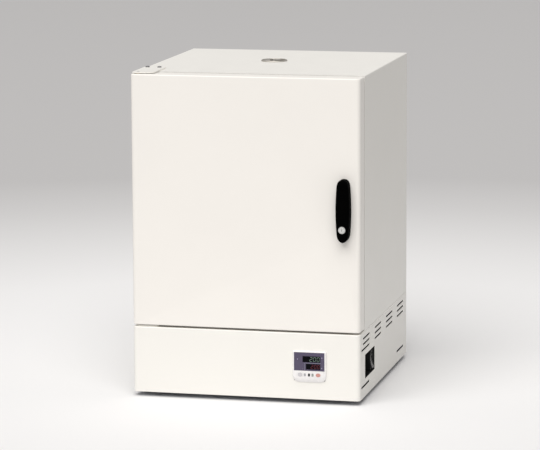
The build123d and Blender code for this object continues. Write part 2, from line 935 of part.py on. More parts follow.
def cord_gland():
    """The nut and barrel that the power cord would come in by, clamped to the rear panel."""
    place = (gland_x, gland_z)
    outer = (back, back + gland_nut_height)
    inner = (back - sheet - gland_nut_height, back - sheet)
    plane = Plane(origin=(gland_x, 0, gland_z), x_dir=(1, 0, 0), z_dir=(0, -1, 0))
    gland = bar("Y", place, (back - sheet - gland_inner, back + gland_reach), gland_barrel)
    for low, high in (outer, inner):
        nut = plane.offset(-high) * RegularPolygon(gland_nut, 6)
        gland += extrude(nut, amount=high - low)
    tip = (back + gland_reach - gland_nut_height, back + gland_reach)
    gland += bar("Y", place, tip, gland_barrel + 1.5)
    span = (back - sheet - gland_inner - 1, back + gland_reach + 1)
    return gland - bar("Y", place, span, gland_bore)


# Parts inside the base


def relay_heatsink():
    """A finned plate on the base's floor."""
    x = heatsink_x
    y = (front + heatsink_front, front + heatsink_front + heatsink_length)
    low = foot_height + sheet
    top = low + heatsink_height
    sink = block((x - heatsink_width / 2, x + heatsink_width / 2), y, (top - heatsink_plate, top))
    pitch = (heatsink_width - heatsink_fin) / (heatsink_fins - 1)
    for i in range(heatsink_fins):
        left = x - heatsink_width / 2 + pitch * i
        sink += block((left, left + heatsink_fin), y, (low, top))
    return sink


def solid_state_relay():
    x = heatsink_x
    y = front + heatsink_front + heatsink_length / 2
    low = foot_height + sheet + heatsink_height
    wide = (x - relay_width / 2, x + relay_width / 2)
    relay = block(wide, (y - relay_length / 2, y + relay_length / 2), (low, low + relay_height))
    for end in (-1, 1):
        edge = sorted((y + end * relay_length / 2, y + end * relay_length / 4))
        relay -= block(wide, edge, (low + relay_height * 0.6, low + relay_height + 1))
        relay += bar("Z", (x, y + end * relay_length * 0.38), (low, low + relay_height * 0.8), screw_head)
    return relay


def terminal_block():
    """A row of poles between ribs, near the cord's gland."""
    y = back - block_rear
    low = foot_height + sheet
    left = block_x - block_width / 2
    body = block((left, left + block_width), (y, y + block_length), (low, low + block_height))
    pitch = block_width / block_poles
    for i in range(block_poles):
        x = (left + pitch * i + 2, left + pitch * (i + 1) - 2)
        body -= block(x, (y - 1, y + block_length + 1), (low + block_height * 0.55, low + block_height + 1))
        middle = left + pitch * (i + 0.5)
        body += bar("Z", (middle, y + block_length / 2), (low, low + block_height * 0.8), screw_head)
    return body


def overheat_thermostat():
    """A box with its setting spindle."""
    y = front + thermostat_front
    low = foot_height + sheet
    wide = (thermostat_x - thermostat_width / 2, thermostat_x + thermostat_width / 2)
    body = block(wide, (y, y + thermostat_length), (low, low + thermostat_height))
    top = (low + thermostat_height, low + thermostat_height + screw_depth)
    return body + bar("Z", (thermostat_x, y + thermostat_length / 2), top, spindle_radius)


# Power switch


def pocket_spans():
    y = front + pocket_front
    z = foot_height + pocket_low
    return (y, y + pocket_length), (z, z + pocket_height)


def switch_pocket():
    """The black tray behind the cut-out in the right side."""
    y, z = pocket_spans()
    mouth = half - sheet
    deep = mouth - pocket_depth
    outer_y = (y[0] - pocket_wall, y[1] + pocket_wall)
    outer_z = (z[0] - pocket_wall, z[1] + pocket_wall)
    tray = block((deep - pocket_wall, mouth), outer_y, outer_z)
    return tray - block((deep, mouth + 1), y, z)


def switch_body():
    """The frame that the rocker turns in, on the tray's rear end."""
    deep = half - sheet - pocket_depth
    out = half - rocker_frame_sink
    half_wide = rocker_width / 2 + seat + rocker_frame_wall
    half_tall = rocker_length / 2 + rocker_room
    wide = (rocker_y - half_wide, rocker_y + half_wide)
    body = block((deep, out), wide, (rocker_z - half_tall - rocker_frame_wall, rocker_z + half_tall + rocker_frame_wall))
    room = (rocker_y - rocker_width / 2 - seat, rocker_y + rocker_width / 2 + seat)
    body -= block((deep + pocket_wall, out + 1), room, (rocker_z - half_tall, rocker_z + half_tall))
    return body - bar("Y", (pivot_x, rocker_z), (wide[0] - 1, wide[1] + 1), rocker_pin + running)


def power_rocker():
    """A rocker with a hollow face, on a pin from front to back."""
    out = rocker_pivot_depth - rocker_sink
    end = rocker_length / 2
    with BuildPart() as rocker:
        with BuildSketch(Plane.XZ):
            with BuildLine():
                Line((out, end), (out - 5, end - 0.5))
                Line((out - 5, end - 0.5), (-2, end * 0.55))
                Line((-2, end * 0.55), (-2, -end * 0.55))
                Line((-2, -end * 0.55), (out - 5, -end + 0.5))
                Line((out - 5, -end + 0.5), (out, -end))
                ThreePointArc((out, -end), (out - rocker_hollow, 0), (out, end))
            make_face()
        extrude(amount=rocker_width / 2, both=True)
    reach = rocker_width / 2 + seat + rocker_frame_wall
    solid = rocker.part + bar("Y", (0, 0), (-reach, reach), rocker_pin)
    return Pos(pivot_x, rocker_y, rocker_z) * Rot(0, -rocker_tilt, 0) * solid


# Controller


def bezel_outline(draw=0.0, chin=0.0):
    """The controller's outline, drawn in at the sides and the top, and raised at the bottom."""
    width = controller_width - 2 * draw
    height = controller_height - draw - chin
    outline = Pos(controller_x, controller_z + (chin - draw) / 2) * Rectangle(width, height)
    outline = fillet(outline.vertices().group_by(Axis.Y)[-1], controller_top_corner)
    return fillet(outline.vertices().group_by(Axis.Y)[0], controller_low_corner)


def window_place():
    top = foot_height + controller_low + controller_height - window_top
    return controller_x, top - window_height / 2


def key_outline(offset, width, height, grow=0.0):
    shape = Ellipse(width / 2 + grow, height / 2 + grow)
    if width < height:
        shape = RectangleRounded(width + 2 * grow, height + 2 * grow, 1.0)
    return Pos(controller_x + offset, key_z) * shape


def controller_bezel():
    """The white frame of the controller, with its window's recess and its keys' holes."""
    out = front - controller_reach
    bezel = slab(bezel_outline(), (front - bezel_lip, front))
    bezel += loft([at_depth(bezel_outline(), front - bezel_lip), at_depth(bezel_outline(bezel_draw, bezel_chin), out)])
    wide = controller_width - 2 * bezel_wall
    tall = controller_height - 2 * bezel_wall
    hollow = oblong(wide, tall, controller_x, controller_z, controller_low_corner / 2)
    bezel -= slab(hollow, (out + window_depth + bezel_face, front + 1))
    bezel -= slab(oblong(window_width, window_height, *window_place()), (out - 1, out + window_depth))
    for _, offset, width, height in key_layout:
        bezel -= slab(key_outline(offset, width, height, seat), (out - 1, front))
    return bezel


def controller_window():
    """The plate over the displays."""
    out = front - controller_reach
    size = (window_width - 2 * slip, window_height - 2 * slip)
    return slab(oblong(*size, *window_place()), (out + slip, out + window_depth))


def controller_case():
    """The box behind the base's front that holds the board."""
    wide = controller_width - 2 * bezel_wall
    tall = controller_height - 2 * bezel_wall
    grow = 2 * case_wall
    case = slab(oblong(wide + grow, tall + grow, controller_x, controller_z), (front, front + case_depth))
    room = oblong(wide, tall, controller_x, controller_z)
    return case - slab(room, (front - 1, front + case_depth - case_wall))


def key_spans():
    """Y of a key's face, the front and back of its flange, and the end of its stem."""
    inner = front - controller_reach + window_depth + bezel_face
    flange = inner + seat
    board = front + board_gap
    stem = board - tact_height - key_travel - seat
    return front - controller_reach - key_proud, flange, flange + key_flange, stem


def circuit_board():
    """The board, with a small switch behind each key."""
    wide = controller_width - 2 * bezel_wall - 2 * slip
    tall = controller_height - 2 * bezel_wall - 2 * slip
    y = (front + board_gap, front + board_gap + board_thickness)
    board = slab(oblong(wide, tall, controller_x, controller_z), y)
    for _, offset, _, _ in key_layout:
        switch = oblong(tact_size, tact_size, controller_x + offset, key_z)
        board += slab(switch, (y[0] - tact_height, y[0]))
    return board


def controller_key(offset, width, height):
    out, flange, flange_back, stem = key_spans()
    key = slab(key_outline(offset, width, height), (out, flange_back))
    key += slab(key_outline(offset, width, height, key_flange), (flange, flange_back))
    return key + bar("Y", (controller_x + offset, key_z), (flange, stem), key_stem)


# Door


def door_skin():
    """The painted front of the door, a deep tray open at the back."""
    z = (door_bottom, door_top)
    skin = block((-half, half), (front, door_back), z)
    upright = skin.edges().filter_by(Axis.Z).group_by(Axis.Y)[0]
    skin = fillet(upright, door_corner)
    rims = skin.faces().sort_by(Axis.Z)
    edges = [edge for rim in (rims[0], rims[-1]) for edge in rim.edges().sort_by(Axis.Y)[:-1]]
    skin = fillet(edges, door_edge)
    inner_z = (z[0] + sheet, z[1] - sheet)
    room = block((-half + sheet, half - sheet), (front + sheet, door_back + 1), inner_z)
    room = fillet(room.edges().filter_by(Axis.Z).group_by(Axis.Y)[0], door_corner - sheet)
    skin -= room
    hole = pin_radius + running + bush_wall + slip
    place = (hinge_x, hinge_y)
    skin -= bar("Z", place, (z[0] - 1, z[0] + sheet + 1), hole)
    skin -= bar("Z", place, (z[1] - sheet - 1, z[1] + 1), hole)
    wall = (front - 1, front + sheet + 1)
    skin -= bar("Y", (handle_x, lock_z), wall, lock_outer + slip)
    for place in handle_screw_places():
        skin -= bar("Y", place, wall, screw_shank + slip)
    return skin


def plug_size(inset=0.0):
    """Width and height of the raised middle of the inner panel."""
    return (
        chamber_width - 2 * (plug_clearance + inset),
        liner_height - 2 * (plug_clearance + inset),
    )


def door_inner_panel():
    """The stainless back of the door, raised into the chamber's mouth."""
    wide = 2 * (half - sheet)
    z = (door_bottom + sheet, door_top - sheet)
    middle = (z[0] + z[1]) / 2
    plate = oblong(wide, z[1] - z[0], 0, middle)
    inner = oblong(wide - 2 * liner_sheet, z[1] - z[0] - 2 * liner_sheet, 0, middle)
    panel = slab(plate, (door_back - liner_sheet, door_back))
    panel += slab(plate - inner, (door_back - door_flange, door_back))
    away = Plane(origin=(0, door_back, 0), x_dir=(-1, 0, 0), z_dir=(0, 1, 0))
    outside = away * (Pos(0, liner_middle) * RectangleRounded(*plug_size(), plug_corner))
    corner = plug_corner - liner_sheet
    inside = away * (Pos(0, liner_middle) * RectangleRounded(*plug_size(liner_sheet), corner))
    panel += extrude(outside, amount=plug_depth, taper=plug_draft)
    panel -= extrude(inside, amount=plug_depth - liner_sheet, taper=plug_draft)
    hole = oblong(*plug_size(liner_sheet), 0, liner_middle, corner)
    panel -= slab(hole, (door_back - liner_sheet - 1, door_back))
    return panel - bar("Y", (handle_x, lock_z), (door_back - liner_sheet - 1, door_back + 1), lock_outer + slip)


def door_insulation():
    """Wool that fills the door and the raised middle of its panel."""
    reach = half - door_corner - 1
    z = (door_bottom + door_wool_inset, door_top - door_wool_inset)
    fill = block((-reach, reach), (front + sheet, door_back - liner_sheet), z)
    width, height = plug_size(plug_draft)
    size = oblong(width, height, 0, liner_middle, plug_corner / 2)
    fill += slab(size, (door_back - liner_sheet - 1, door_back + plug_depth - liner_sheet - 1))
    fill -= bar("Y", (handle_x, lock_z), (front, door_back), lock_outer + slip)
    for place in handle_screw_places():
        fill -= bar("Y", place, (front, front + sheet + screw_head_height + 1), screw_head + 1)
    return fill


def door_gasket():
    """The silicone seal that meets the cabinet's face round the mouth."""
    width = chamber_width + 2 * gasket_offset
    height = liner_height + 2 * gasket_offset
    inner = oblong(width, height, 0, liner_middle, gasket_corner)
    grow = 2 * gasket_width
    outer = oblong(width + grow, height + grow, 0, liner_middle, gasket_corner + gasket_width)
    ring = slab(outer - inner, (door_back, face - seat))
    edges = ring.faces().sort_by(Axis.Y)[-1].edges()
    return fillet(edges, (door_gap - seat) * 0.6)


def hinge_bushes():
    """Flanged sleeves in the door's top and bottom, one for each pin."""
    place = (hinge_x, hinge_y)
    bore = pin_radius + running
    outer = bore + bush_wall
    top_flange = (door_top, cabinet_top - door_top_gap / 2)
    low_flange = (base_top + plate_thickness + seat, door_bottom)
    top = bar("Z", place, (door_top - pin_depth - 2, door_top), outer)
    top += bar("Z", place, top_flange, outer + bush_flange)
    low = bar("Z", place, (door_bottom, door_bottom + pin_depth + 2), outer)
    low += bar("Z", place, low_flange, outer + bush_flange)
    hole = bar("Z", place, (base_top, cabinet_top), bore)
    return group([top - hole, low - hole])


def hinge_pins():
    place = (hinge_x, hinge_y)
    top = bar("Z", place, (door_top - pin_depth, cabinet_top + plate_thickness), pin_radius)
    low = bar("Z", place, (base_top, door_bottom + pin_depth), pin_radius)
    return group([top, low])


def upper_hinge_plate():
    """The plate on the cabinet's top that reaches over the door and holds its pin."""
    left = -half + plate_edge_inset
    x = (left, left + plate_width)
    y = (hinge_y - plate_overhang, face + plate_grip)
    z = (cabinet_top, cabinet_top + plate_thickness)
    plate = block(x, y, z)
    posts = plate.edges().filter_by(Axis.Z).sort_by(Axis.Y)
    nose = posts[:2].sort_by(Axis.X)[-1]
    others = [edge for edge in posts if edge is not nose]
    plate = fillet(nose, plate_nose)
    posts = plate.edges().filter_by(Axis.Z)
    others = [edge for edge in posts if edge.center().X < left + 1 or edge.center().Y > y[1] - 1]
    plate = fillet(others, plate_corner)
    plate -= bar("Z", (hinge_x, hinge_y), (z[0] - 1, z[1] + 1), pin_radius + running)
    for place in upper_screw_places():
        plate -= bar("Z", place, (z[0] - 1, z[1] + 1), screw_shank + slip)
    return plate


def lower_hinge_bracket():
    """The plate under the door that carries the lower pin."""
    left = -half + bracket_inset
    x = (left, left + plate_width)
    y = (front + bracket_inset, face - bracket_inset)
    z = (base_top, base_top + plate_thickness)
    plate = block(x, y, z)
    plate = fillet(plate.edges().filter_by(Axis.Z), bracket_inset)
    plate -= bar("Z", (hinge_x, hinge_y), (z[0] - 1, z[1] + 1), pin_radius + running)
    for place in lower_screw_places():
        plate -= bar("Z", place, (z[0] - 1, z[1] + 1), screw_shank + slip)
        plate -= bar("Z", place, (z[1] - flat_head_height - slip, z[1] + 1), flat_head + slip)
    return plate


def hinge_screws():
    """Pan heads in the upper plate, and flat heads sunk in the lower one."""
    top = cabinet_top + plate_thickness
    upper = [screw("Z", place, top, 1, depth=plate_thickness + screw_depth) for place in upper_screw_places()]
    sunk = base_top + plate_thickness - flat_head_height - slip
    lower = [
        screw("Z", place, sunk, 1, head=flat_head, height=flat_head_height)
        for place in lower_screw_places()
    ]
    return group(upper + lower)


def catch_strikes():
    """Steel plates on the inner panel, one before each magnet."""
    width = catch_width + 2 * strike_border
    height = catch_height + 2 * strike_border
    y = (door_back, door_back + strike_thickness)
    return group(slab(oblong(width, height, catch_x, z), y) for z in catch_heights())


# Handle and lock


def handle_screw_places():
    low = handle_centre - handle_height / 2 + handle_screw_inset
    high = handle_centre + handle_height / 2 - handle_screw_inset
    return [(handle_x, low), (handle_x, high)]


def handle_outline(draw=0.0):
    """A barrel-shaped oval, a little more pointed below."""
    top = handle_centre + handle_height / 2 - draw
    low = handle_centre - handle_height / 2 + draw
    wide = handle_width / 2 - draw
    narrow = handle_neck - draw
    shoulder = handle_centre + handle_height / 2 - handle_crown
    hip = handle_centre - handle_height / 2 + handle_chin
    with BuildSketch() as outline:
        with BuildLine():
            for side in (-1, 1):
                neck = (handle_x + side * narrow, shoulder)
                foot = (handle_x + side * narrow, hip)
                Spline((handle_x, top), neck, tangents=((side, 0), (side * 0.18, -1)))
                ThreePointArc(neck, (handle_x + side * wide, handle_centre), foot)
                Spline(foot, (handle_x, low), tangents=((-side * 0.18, -1), (-side, -0.25)))
        make_face()
    return outline.sketch


def handle_grip():
    """A cup pull: closed towards the door's edge, with room for the fingers from the hinge side."""
    out = front - handle_reach
    rim = out + handle_dome
    grip = slab(handle_outline(), (rim, front))
    sections = []
    for turn in (0, 25, 48, 68, 90):
        draw = handle_draw * (1 - cos(radians(turn)))
        sections.append(at_depth(handle_outline(draw), rim - handle_dome * sin(radians(turn))))
    grip += loft(sections)
    low = lock_z + lock_outer + finger_clearance
    high = handle_centre + handle_height / 2 - finger_drop
    right = handle_x + handle_width / 2 - grip_cheek
    left = handle_x - handle_width / 2 - 1
    room = block((left, right), (out + grip_wall, front + 1), (low, high))
    room = fillet(room.edges().filter_by(Axis.X).group_by(Axis.Y)[0], finger_corner)
    grip -= room
    grip -= bar("Y", (handle_x, lock_z), (out - 1, front + 1), lock_outer + slip)
    for place in handle_screw_places():
        grip -= bar("Y", place, (front - screw_depth - 2, front + 1), screw_shank + slip)
    return grip


def handle_screws():
    inside = front + sheet
    depth = sheet + screw_depth
    return group(screw("Y", place, inside, 1, depth=depth) for place in handle_screw_places())


def lock_housing():
    """The barrel through the handle and the door, bored wide for the core and narrow for its spindle."""
    place = (handle_x, lock_z)
    out = front - handle_reach
    barrel = bar("Y", place, (out, door_back + seat), lock_outer)
    barrel -= bar("Y", place, (out - 1, core_end() + seat), lock_bore)
    return barrel - bar("Y", place, (out - 1, door_back + 2), spindle_radius + running)


def core_end():
    return front - handle_reach - core_proud + core_length


def lock_core():
    """The key's cylinder, with its slot, and the spindle behind it."""
    place = (handle_x, lock_z)
    out = front - handle_reach - core_proud
    core = bar("Y", place, (out, core_end()), lock_bore - seat)
    core -= block((handle_x - 0.6, handle_x + 0.6), (out - 1, out + 4), (lock_z - 4, lock_z + 4))
    return core + bar("Y", place, (core_end(), cam_y + cam_thickness + 2), spindle_radius)


def lock_cam():
    """The plate that turns behind the cabinet's face."""
    tail = cam_width / 2
    shape = Pos(0, (cam_length - tail) / 2) * RectangleRounded(cam_width, cam_length + tail, cam_width / 2 - 1)
    cam = slab(Pos(handle_x, lock_z) * shape, (cam_y, cam_y + cam_thickness))
    return cam - bar("Y", (handle_x, lock_z), (cam_y - 1, cam_y + cam_thickness + 1), spindle_radius + running)


nodes = {
    "outer_casing": outer_casing,
    "rear_cover": rear_cover,
    "front_frame": front_frame,
    "lock_keeper": lock_keeper,
    "magnet_catches": magnet_catches,
    "chamber_liner": chamber_liner,
    "chamber_insulation": chamber_insulation,
    "heater_elements": heater_elements,
    "heater_bushings": heater_bushings,
    "heater_cover_plate": heater_cover_plate,
    "shelf_posts": shelf_posts,
    "shelf_clips": shelf_clips,
    "lower_shelf": lambda: shelf(lower_shelf_slot),
    "upper_shelf": lambda: shelf(upper_shelf_slot),
    "temperature_probe": lambda: temperature_well(1),
    "overheat_probe": lambda: temperature_well(-1),
    "exhaust_duct": exhaust_duct,
    "vent_flange": vent_flange,
    "damper_disc": damper_disc,
    "base_shell": base_shell,
    "base_floor": base_floor,
    "base_rear_panel": base_rear_panel,
    "feet": feet,
    "foot_screws": foot_screws,
    "rear_screws": rear_screws,
    "cord_gland": cord_gland,
    "relay_heatsink": relay_heatsink,
    "solid_state_relay": solid_state_relay,
    "terminal_block": terminal_block,
    "overheat_thermostat": overheat_thermostat,
    "switch_pocket": switch_pocket,
    "switch_body": switch_body,
    "power_rocker": power_rocker,
    "controller_bezel": controller_bezel,
    "controller_window": controller_window,
    "controller_case": controller_case,
    "circuit_board": circuit_board,
    "door_skin": door_skin,
    "door_inner_panel": door_inner_panel,
    "door_insulation": door_insulation,
    "door_gasket": door_gasket,
    "hinge_bushes": hinge_bushes,
    "hinge_pins": hinge_pins,
    "upper_hinge_plate": upper_hinge_plate,
    "lower_hinge_bracket": lower_hinge_bracket,
    "hinge_screws": hinge_screws,
    "catch_strikes": catch_strikes,
    "handle_grip": handle_grip,
    "handle_screws": handle_screws,
    "lock_housing": lock_housing,
    "lock_core": lock_core,
    "lock_cam": lock_cam,
}

for name, make in nodes.items():
    export_step(make(), f"parts/{name}.step")
for name, offset, width, height in key_layout:
    export_step(controller_key(offset, width, height), f"parts/{name}.step")
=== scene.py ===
"""Hot air sterilizer, finished for a studio photograph.

The packed model gives every rigid piece, and this file gives them their
finishes, the small pieces that are too fine for the model, and the studio.
"""

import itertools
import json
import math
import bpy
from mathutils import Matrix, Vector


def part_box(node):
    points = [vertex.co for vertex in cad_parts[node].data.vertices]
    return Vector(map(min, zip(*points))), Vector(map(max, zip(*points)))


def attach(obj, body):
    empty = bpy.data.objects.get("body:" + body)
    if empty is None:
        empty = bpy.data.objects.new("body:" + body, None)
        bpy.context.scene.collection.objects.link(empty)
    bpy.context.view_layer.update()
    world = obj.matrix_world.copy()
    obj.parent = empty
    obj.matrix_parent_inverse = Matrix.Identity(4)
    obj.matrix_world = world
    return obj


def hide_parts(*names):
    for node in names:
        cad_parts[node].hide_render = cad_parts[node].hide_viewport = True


bl_info = {
    "name": "Hot Air Sterilizer",
    "version": (1, 0, 0),
    "blender": (4, 5, 0),
    "location": "View3D > Sidebar > Sterilizer",
    "description": "Finishes, small pieces and the studio of a laboratory hot air sterilizer",
    "category": "Object",
}

import bmesh
import bpy
from bpy.props import FloatProperty, FloatVectorProperty, IntProperty, PointerProperty
from mathutils import Matrix, Vector

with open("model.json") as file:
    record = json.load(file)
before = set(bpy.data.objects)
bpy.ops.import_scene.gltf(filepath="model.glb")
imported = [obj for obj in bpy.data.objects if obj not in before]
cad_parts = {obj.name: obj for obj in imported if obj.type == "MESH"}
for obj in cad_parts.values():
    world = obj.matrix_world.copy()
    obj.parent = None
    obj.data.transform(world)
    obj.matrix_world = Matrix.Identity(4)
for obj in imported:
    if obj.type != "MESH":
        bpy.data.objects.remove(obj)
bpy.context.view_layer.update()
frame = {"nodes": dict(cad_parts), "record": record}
node_body = {}
for body_name, node_names in frame["record"]["behaviour"]["bodies"].items():
    for node_name in node_names:
        node_body[node_name] = body_name

MM = 0.001


# Settings


def colour_property(name, description, default):
    return FloatVectorProperty(
        name=name, description=description, default=default, size=3, subtype="COLOR", min=0.0, max=1.0
    )


def vector_property(name, description, default, subtype):
    return FloatVectorProperty(name=name, description=description, default=default, size=3, subtype=subtype)


def length_property(name, description, default):
    """A length that may be set from a quarter of its default to 1.75 times it."""
    return FloatProperty(
        name=name,
        description=description,
        default=default,
        min=default * 0.25,
        max=default * 1.75,
        subtype="DISTANCE",
        unit="LENGTH",
    )


def angle_property(name, description, degrees):
    return FloatProperty(name=name, description=description, default=math.radians(degrees), subtype="ANGLE")


def share_property(name, description, default, low=0.0, high=1.0):
    return FloatProperty(
        name=name, description=description, default=default, min=low, max=high, subtype="FACTOR"
    )


def strength_property(name, description, default, high):
    return FloatProperty(name=name, description=description, default=default, min=0.0, max=high)


def count_property(name, description, default, low, high):
    return IntProperty(name=name, description=description, default=default, min=low, max=high)


class PaintSettings(bpy.types.PropertyGroup):
    """Baked enamel on the sheet metal"""

    door: colour_property("Door", "Colour of the door's front", (0.93, 0.90, 0.855))
    cabinet: colour_property("Cabinet", "Colour of the cabinet and the base", (0.905, 0.886, 0.842))
    # Painted shade: near-black colour for the inside faces of the base, standing for the dark behind its
    # slots
    primer: colour_property("Primer", "Colour of the base's inside", (0.022, 0.022, 0.024))
    peel: length_property("Peel", "Distance between the ripples in the enamel", 0.0016)
    roughness: share_property("Roughness", "How dull the enamel is", 0.42, 0.05)


class MetalSettings(bpy.types.PropertyGroup):
    """Bare metal inside and on the fittings"""

    stainless: colour_property("Stainless", "Colour of the chamber's sheet", (0.60, 0.595, 0.58))
    zinc: colour_property("Zinc", "Colour of plated steel", (0.58, 0.60, 0.63))
    oxide: colour_property("Heater", "Colour of the heaters' oxidised sheath", (0.10, 0.085, 0.08))
    grain: length_property("Grain", "Width of the brushed lines", 0.0006)


class PlasticSettings(bpy.types.PropertyGroup):
    """Mouldings and the controller's colours"""

    black: colour_property("Black", "Colour of the switch and the hidden mouldings", (0.008, 0.009, 0.009))
    handle: colour_property("Handle", "Colour of the handle", (0.001, 0.001, 0.001))
    bezel: colour_property("Bezel", "Colour of the controller's frame", (0.90, 0.88, 0.88))
    panel: colour_property("Panel", "Colour of the film round the displays", (0.085, 0.070, 0.125))
    upper_digits: colour_property("Upper digits", "Colour of the measured value", (0.115, 0.165, 0.135))
    lower_digits: colour_property("Lower digits", "Colour of the set value", (0.085, 0.006, 0.014))


class DisplaySettings(bpy.types.PropertyGroup):
    """Displays, lamps and printed line of the controller"""

    upper_value: count_property("Upper value", "Number on the upper display", 200, 0, 999)
    lower_value: count_property("Lower value", "Number on the lower display", 200, 0, 999)
    recess: length_property("Recess", "How far the displays lie behind the film's face", 0.0006)
    stroke: length_property("Stroke", "Width of a digit's strokes", 0.0011)
    slant: share_property("Slant", "How far a digit leans, as a share of its height", 0.10, 0.0, 0.5)
    lamp: length_property("Lamp", "Radius of the small lamps", 0.0014)
    line: length_property("Line", "Width of the printed line", 0.0005)


class FastenerSettings(bpy.types.PropertyGroup):
    """Screws and welds"""

    pan_radius: length_property("Pan head", "Radius of a pan head", 0.0045)
    pan_height: length_property("Pan height", "Height of a pan head", 0.0028)
    rear_height: length_property("Rear height", "Height of the rear panels' pan heads", 0.0022)
    hinge_radius: length_property("Hinge head", "Radius of the upper hinge's screw heads", 0.0052)
    hinge_height: length_property("Hinge height", "Height of the upper hinge's screw heads", 0.0029)
    flat_radius: length_property("Flat head", "Radius of the lower hinge's flat heads", 0.0040)
    flat_height: length_property("Flat height", "Height of the lower hinge's flat heads", 0.0016)
    small_radius: length_property("Small head", "Radius of the screws in the door's back", 0.0032)
    small_height: length_property("Small height", "Height of the screws in the door's back", 0.0018)
    small_count: count_property("Small screws", "Screws along one side of the door's back", 5, 2, 20)
    small_inset: length_property("Small inset", "From the door panel's side to a screw", 0.009)
    small_end: length_property("Small end", "From the door panel's end to the first screw", 0.022)
    slot_width: length_property("Cross", "Width of one arm of the cross recess", 0.0011)
    weld_radius: length_property("Weld", "Radius of the weld where two shelf wires cross", 0.0019)


class StudioSettings(bpy.types.PropertyGroup):
    """Camera, lamps and floor"""

    camera_place: vector_property("Camera", "Place of the camera", (1.7146, -7.2565, 1.6086), "TRANSLATION")
    yaw: angle_property("Yaw", "How far the camera turns to the left", 13.346)
    pitch: angle_property("Pitch", "How far the camera looks down", 9.283)
    roll: angle_property("Roll", "How far the camera leans", -0.252)
    lens: FloatProperty(
        name="Lens", description="Focal length of the camera", default=199.75, min=10, max=500, unit="CAMERA"
    )
    key: strength_property("Key", "Strength of the key light", 2.62, 20)
    key_way: vector_property("Key direction", "Where the key light comes from", (-0.03, -0.50, 0.74), "XYZ")
    key_width: angle_property("Key width", "How wide the key light looks", 60)
    fill: strength_property("Fill", "Level of the light from all round", 0.39, 2)
    bounce: share_property("Bounce", "Share of the floor's colour that lights the oven", 0.83)
    floor: colour_property("Floor", "Colour of the floor near the oven", (0.853, 0.850, 0.854))
    backdrop: colour_property("Backdrop", "Colour of the floor far away", (0.492, 0.486, 0.488))


def chosen(group, key):
    """A colour from the settings."""
    return tuple(getattr(getattr(bpy.context.scene, "sterilizer_" + group), key))


# Shader nodes


class Finish:
    """A material with one principled shader, and short ways to drive it."""

    def __init__(self, name, colour, roughness, metallic=0.0):
        self.material = bpy.data.materials.new(name)
        self.material.use_nodes = True
        self.material.diffuse_color = (*colour, 1.0)
        self.tree = self.material.node_tree
        self.shader = self.tree.nodes["Principled BSDF"]
        self.shader.inputs["Base Color"].default_value = (*colour, 1.0)
        self.shader.inputs["Roughness"].default_value = roughness
        self.shader.inputs["Metallic"].default_value = metallic
        self.colour = colour
        self.coordinates = self.tree.nodes.new("ShaderNodeTexCoord").outputs["Object"]

    def node(self, kind, **values):
        made = self.tree.nodes.new(kind)
        for key, value in values.items():
            setattr(made, key, value)
        return made

    def link(self, source, target):
        self.tree.links.new(source, target)

    def feed(self, value, socket):
        """Links an output to the socket, or sets the socket to a colour or a number."""
        if isinstance(value, bpy.types.NodeSocket):
            self.link(value, socket)
        elif isinstance(value, tuple):
            socket.default_value = (*value, 1.0)
        else:
            socket.default_value = value

    def place(self, stretch):
        """Object coordinates, scaled along each axis."""
        mapping = self.node("ShaderNodeMapping")
        mapping.inputs["Scale"].default_value = stretch
        self.link(self.coordinates, mapping.inputs["Vector"])
        return mapping.outputs["Vector"]

    def noise(self, size, detail=2.0, stretch=(1, 1, 1), roughness=0.5, distortion=0.0):
        """Clouds about size metres wide."""
        texture = self.node("ShaderNodeTexNoise")
        texture.inputs["Scale"].default_value = 1.0 / size
        texture.inputs["Detail"].default_value = detail
        texture.inputs["Roughness"].default_value = roughness
        texture.inputs["Distortion"].default_value = distortion
        self.link(self.place(stretch), texture.inputs["Vector"])
        return texture.outputs["Fac"]

    def cells(self, size):
        """Distance from the middle of cells about size metres wide."""
        texture = self.node("ShaderNodeTexVoronoi", feature="F1")
        texture.inputs["Scale"].default_value = 1.0 / size
        self.link(self.coordinates, texture.inputs["Vector"])
        return texture.outputs["Distance"]

    def range(self, source, low, high, start=0.3, end=0.7):
        """Maps a texture's middle values to low and high."""
        node = self.node("ShaderNodeMapRange")
        node.inputs["From Min"].default_value = start
        node.inputs["From Max"].default_value = end
        node.inputs["To Min"].default_value = low
        node.inputs["To Max"].default_value = high
        self.link(source, node.inputs["Value"])
        return node.outputs["Result"]

    def mix(self, factor, first, second):
        """A colour between two, each an output or a colour."""
        node = self.node("ShaderNodeMix", data_type="RGBA")
        first_colour, second_colour = node.inputs[6:8]
        self.feed(factor, node.inputs["Factor"])
        self.feed(first, first_colour)
        self.feed(second, second_colour)
        return node.outputs[2]

    def tint(self, factor, second, first=None):
        """The colour goes from the first to the second as the factor goes from 0 to 1."""
        mixed = self.mix(factor, self.colour if first is None else first, second)
        self.link(mixed, self.shader.inputs["Base Color"])

    def dull(self, factor):
        self.link(factor, self.shader.inputs["Roughness"])

    def bump(self, height, distance, strength=1.0):
        """Adds relief, on top of any that is there."""
        node = self.node("ShaderNodeBump")
        node.inputs["Strength"].default_value = strength
        node.inputs["Distance"].default_value = distance
        self.link(height, node.inputs["Height"])
        normal = self.shader.inputs["Normal"]
        if normal.is_linked:
            self.link(normal.links[0].from_socket, node.inputs["Normal"])
        self.link(node.outputs["Normal"], normal)


def shade(colour, factor):
    return tuple(min(1.0, part * factor) for part in colour)


finishes = {}


def finish(name, maker):
    """A finish is made once and shared."""
    if name not in finishes:
        finishes[name] = maker(name).material
    return finishes[name]


